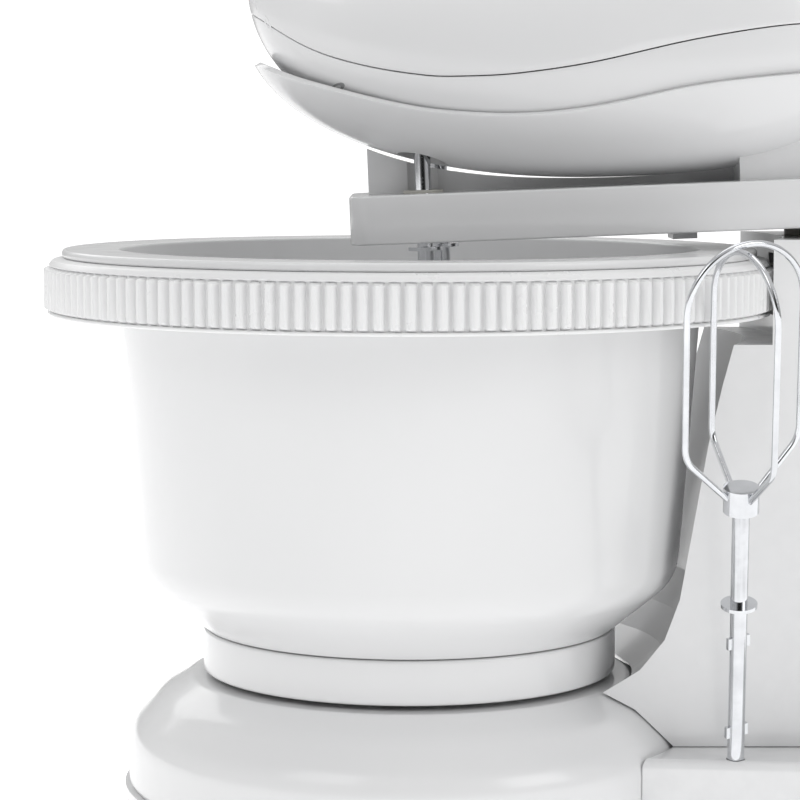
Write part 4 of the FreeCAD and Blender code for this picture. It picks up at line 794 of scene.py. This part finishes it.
def buildArm():
    s = armShape
    high = s["low"] + s["tall"]
    arm = raisedOutline(armOutline(0), s["low"], high)
    applyModifier(arm, "BEVEL", width=mm(s["crown"]), segments=4, limit_method="ANGLE",
                  angle_limit=math.radians(60))
    hollow = raisedOutline(armOutline(s["wall"]), s["low"] - s["hollowBelow"], high - s["wall"])
    applyModifier(arm, "BOOLEAN", object=hollow, operation="DIFFERENCE", solver="EXACT")
    bpy.data.objects.remove(hollow)
    drillLow = high - s["drillBelow"]
    drillHigh = high + s["drillAbove"]
    for x, y in hullShape["wells"]:
        cutRound(arm, s["well"], x, y, drillLow, drillHigh)
    cutRound(arm, s["latchHole"], s["neck"], 0, drillLow, drillHigh)
    for radius, reach, way in ((s["barrel"], s["neckHalf"], "UNION"), (s["pin"], s["half"], "DIFFERENCE")):
        clearSelection()
        bpy.ops.mesh.primitive_cylinder_add(vertices=56, radius=mm(radius), depth=mm(2 * reach),
                                            location=(mm(s["hinge"]), 0, mm(s["hingeUp"])),
                                            rotation=(math.pi / 2, 0, 0))
        bar = bpy.context.object
        applyModifier(arm, "BOOLEAN", object=bar, operation=way, solver="EXACT")
        bpy.data.objects.remove(bar)
    finishPiece(arm, "armLid", finishes["white_shell"], "arm", ["arm_housing"],
                levelToRaked, angle=30)


buildBowl()
buildGearRing()
buildTurntable()
buildDrum()
print("bowl, ring, turntable and drum made")
buildArm()
buildHull()
buildBand()
buildUpper()
buildHeadDetails()
print("head shells made")


# floor, light and camera

roomLook = {"paper": (0.92, 0.92, 0.92), "fibre": (0.88, 0.88, 0.885), "glow": 0.56, "half": 4.0}


def buildRoom():
    clearSelection()
    half = roomLook["half"]
    bpy.ops.mesh.primitive_plane_add(size=2 * half, location=(0, 0, 0))
    paper = bpy.context.object
    paper.name = "paperFloor"
    material, tree, shader = startMaterial("whitePaper")
    skin = useGroup(tree, mouldedSkin, Tint=roomLook["paper"] + (1,), Shade=roomLook["fibre"] + (1,),
                    Smooth=0.75, Satin=0.9, Peel=0.1, Grain=900.0)
    tree.links.new(skin.outputs["Color"], shader.inputs["Base Color"])
    tree.links.new(skin.outputs["Roughness"], shader.inputs["Roughness"])
    shader.inputs["Emission Color"].default_value = (1, 1, 1, 1)
    shader.inputs["Emission Strength"].default_value = roomLook["glow"]
    paper.data.materials.append(material)


softBoxes = [
    # name, place, aimed at, size, watts
    ("keyBox", (-1.1, -1.3, 1.5), (-0.03, 0, 0.2), 1.0, 4.4),
    ("fillBox", (1.4, -1.1, 0.9), (0.0, 0, 0.18), 0.9, 5.2),
    ("topBox", (0.1, 0.3, 2.0), (-0.02, 0, 0.2), 1.4, 6.4),
    ("backBox", (-0.9, 1.3, 1.1), (0, 0, 0.2), 0.9, 3.0),
]


worldLook = {"flag": (-0.95, -0.75), "ground": (-0.1, 0.35), "groundShade": 0.45, "least": 0.05, "seen": 1.8,
             "strength": 0.68}


def buildLights():
    for name, place, aim, size, watts in softBoxes:
        light = bpy.data.lights.new(name, "AREA")
        light.shape = "SQUARE"
        light.size = size
        light.energy = watts
        lamp = bpy.data.objects.new(name, light)
        bpy.context.scene.collection.objects.link(lamp)
        lamp.location = place
        lamp.rotation_euler = (Vector(aim) - Vector(place)).to_track_quat("-Z", "Y").to_euler()
    world = bpy.data.worlds.new("studioAir")
    world.use_nodes = True
    tree = world.node_tree
    sky = tree.nodes["Background"]
    way = tree.nodes.new("ShaderNodeTexCoord").outputs["Generated"]
    apart = tree.nodes.new("ShaderNodeSeparateXYZ")
    tree.links.new(way, apart.inputs["Vector"])
    look = worldLook
    behind = addRange(tree, apart.outputs["Y"], *look["flag"])     # a dark flag behind the camera
    low = addRange(tree, apart.outputs["Z"], *look["ground"], outLow=look["groundShade"])
    shade = addMath(tree, "MULTIPLY", addMath(tree, "ADD", behind, look["least"]), low)
    seen = tree.nodes.new("ShaderNodeLightPath").outputs["Is Camera Ray"]
    white = addMath(tree, "MULTIPLY", seen, look["seen"])
    tree.links.new(addMath(tree, "MAXIMUM", shade, white), sky.inputs["Color"])
    sky.inputs["Strength"].default_value = look["strength"]
    bpy.context.scene.world = world
    bpy.context.scene.view_settings.view_transform = "Standard"


cameraPlan = {"place": (-0.0416, -0.9305, 0.236), "pitch": 0.098, "lens": 119.25, "sensor": 36,
              "clipStart": 0.05}


def buildCamera():
    lens = bpy.data.cameras.new("viewCamera")
    lens.sensor_width = cameraPlan["sensor"]
    lens.lens = cameraPlan["lens"]
    lens.clip_start = cameraPlan["clipStart"]
    camera = bpy.data.objects.new("viewCamera", lens)
    bpy.context.scene.collection.objects.link(camera)
    camera.location = cameraPlan["place"]
    camera.rotation_euler = (math.pi / 2 - cameraPlan["pitch"], 0, 0)
    bpy.context.scene.camera = camera


buildRoom()
buildLights()
buildCamera()
print("room, lights and camera made")
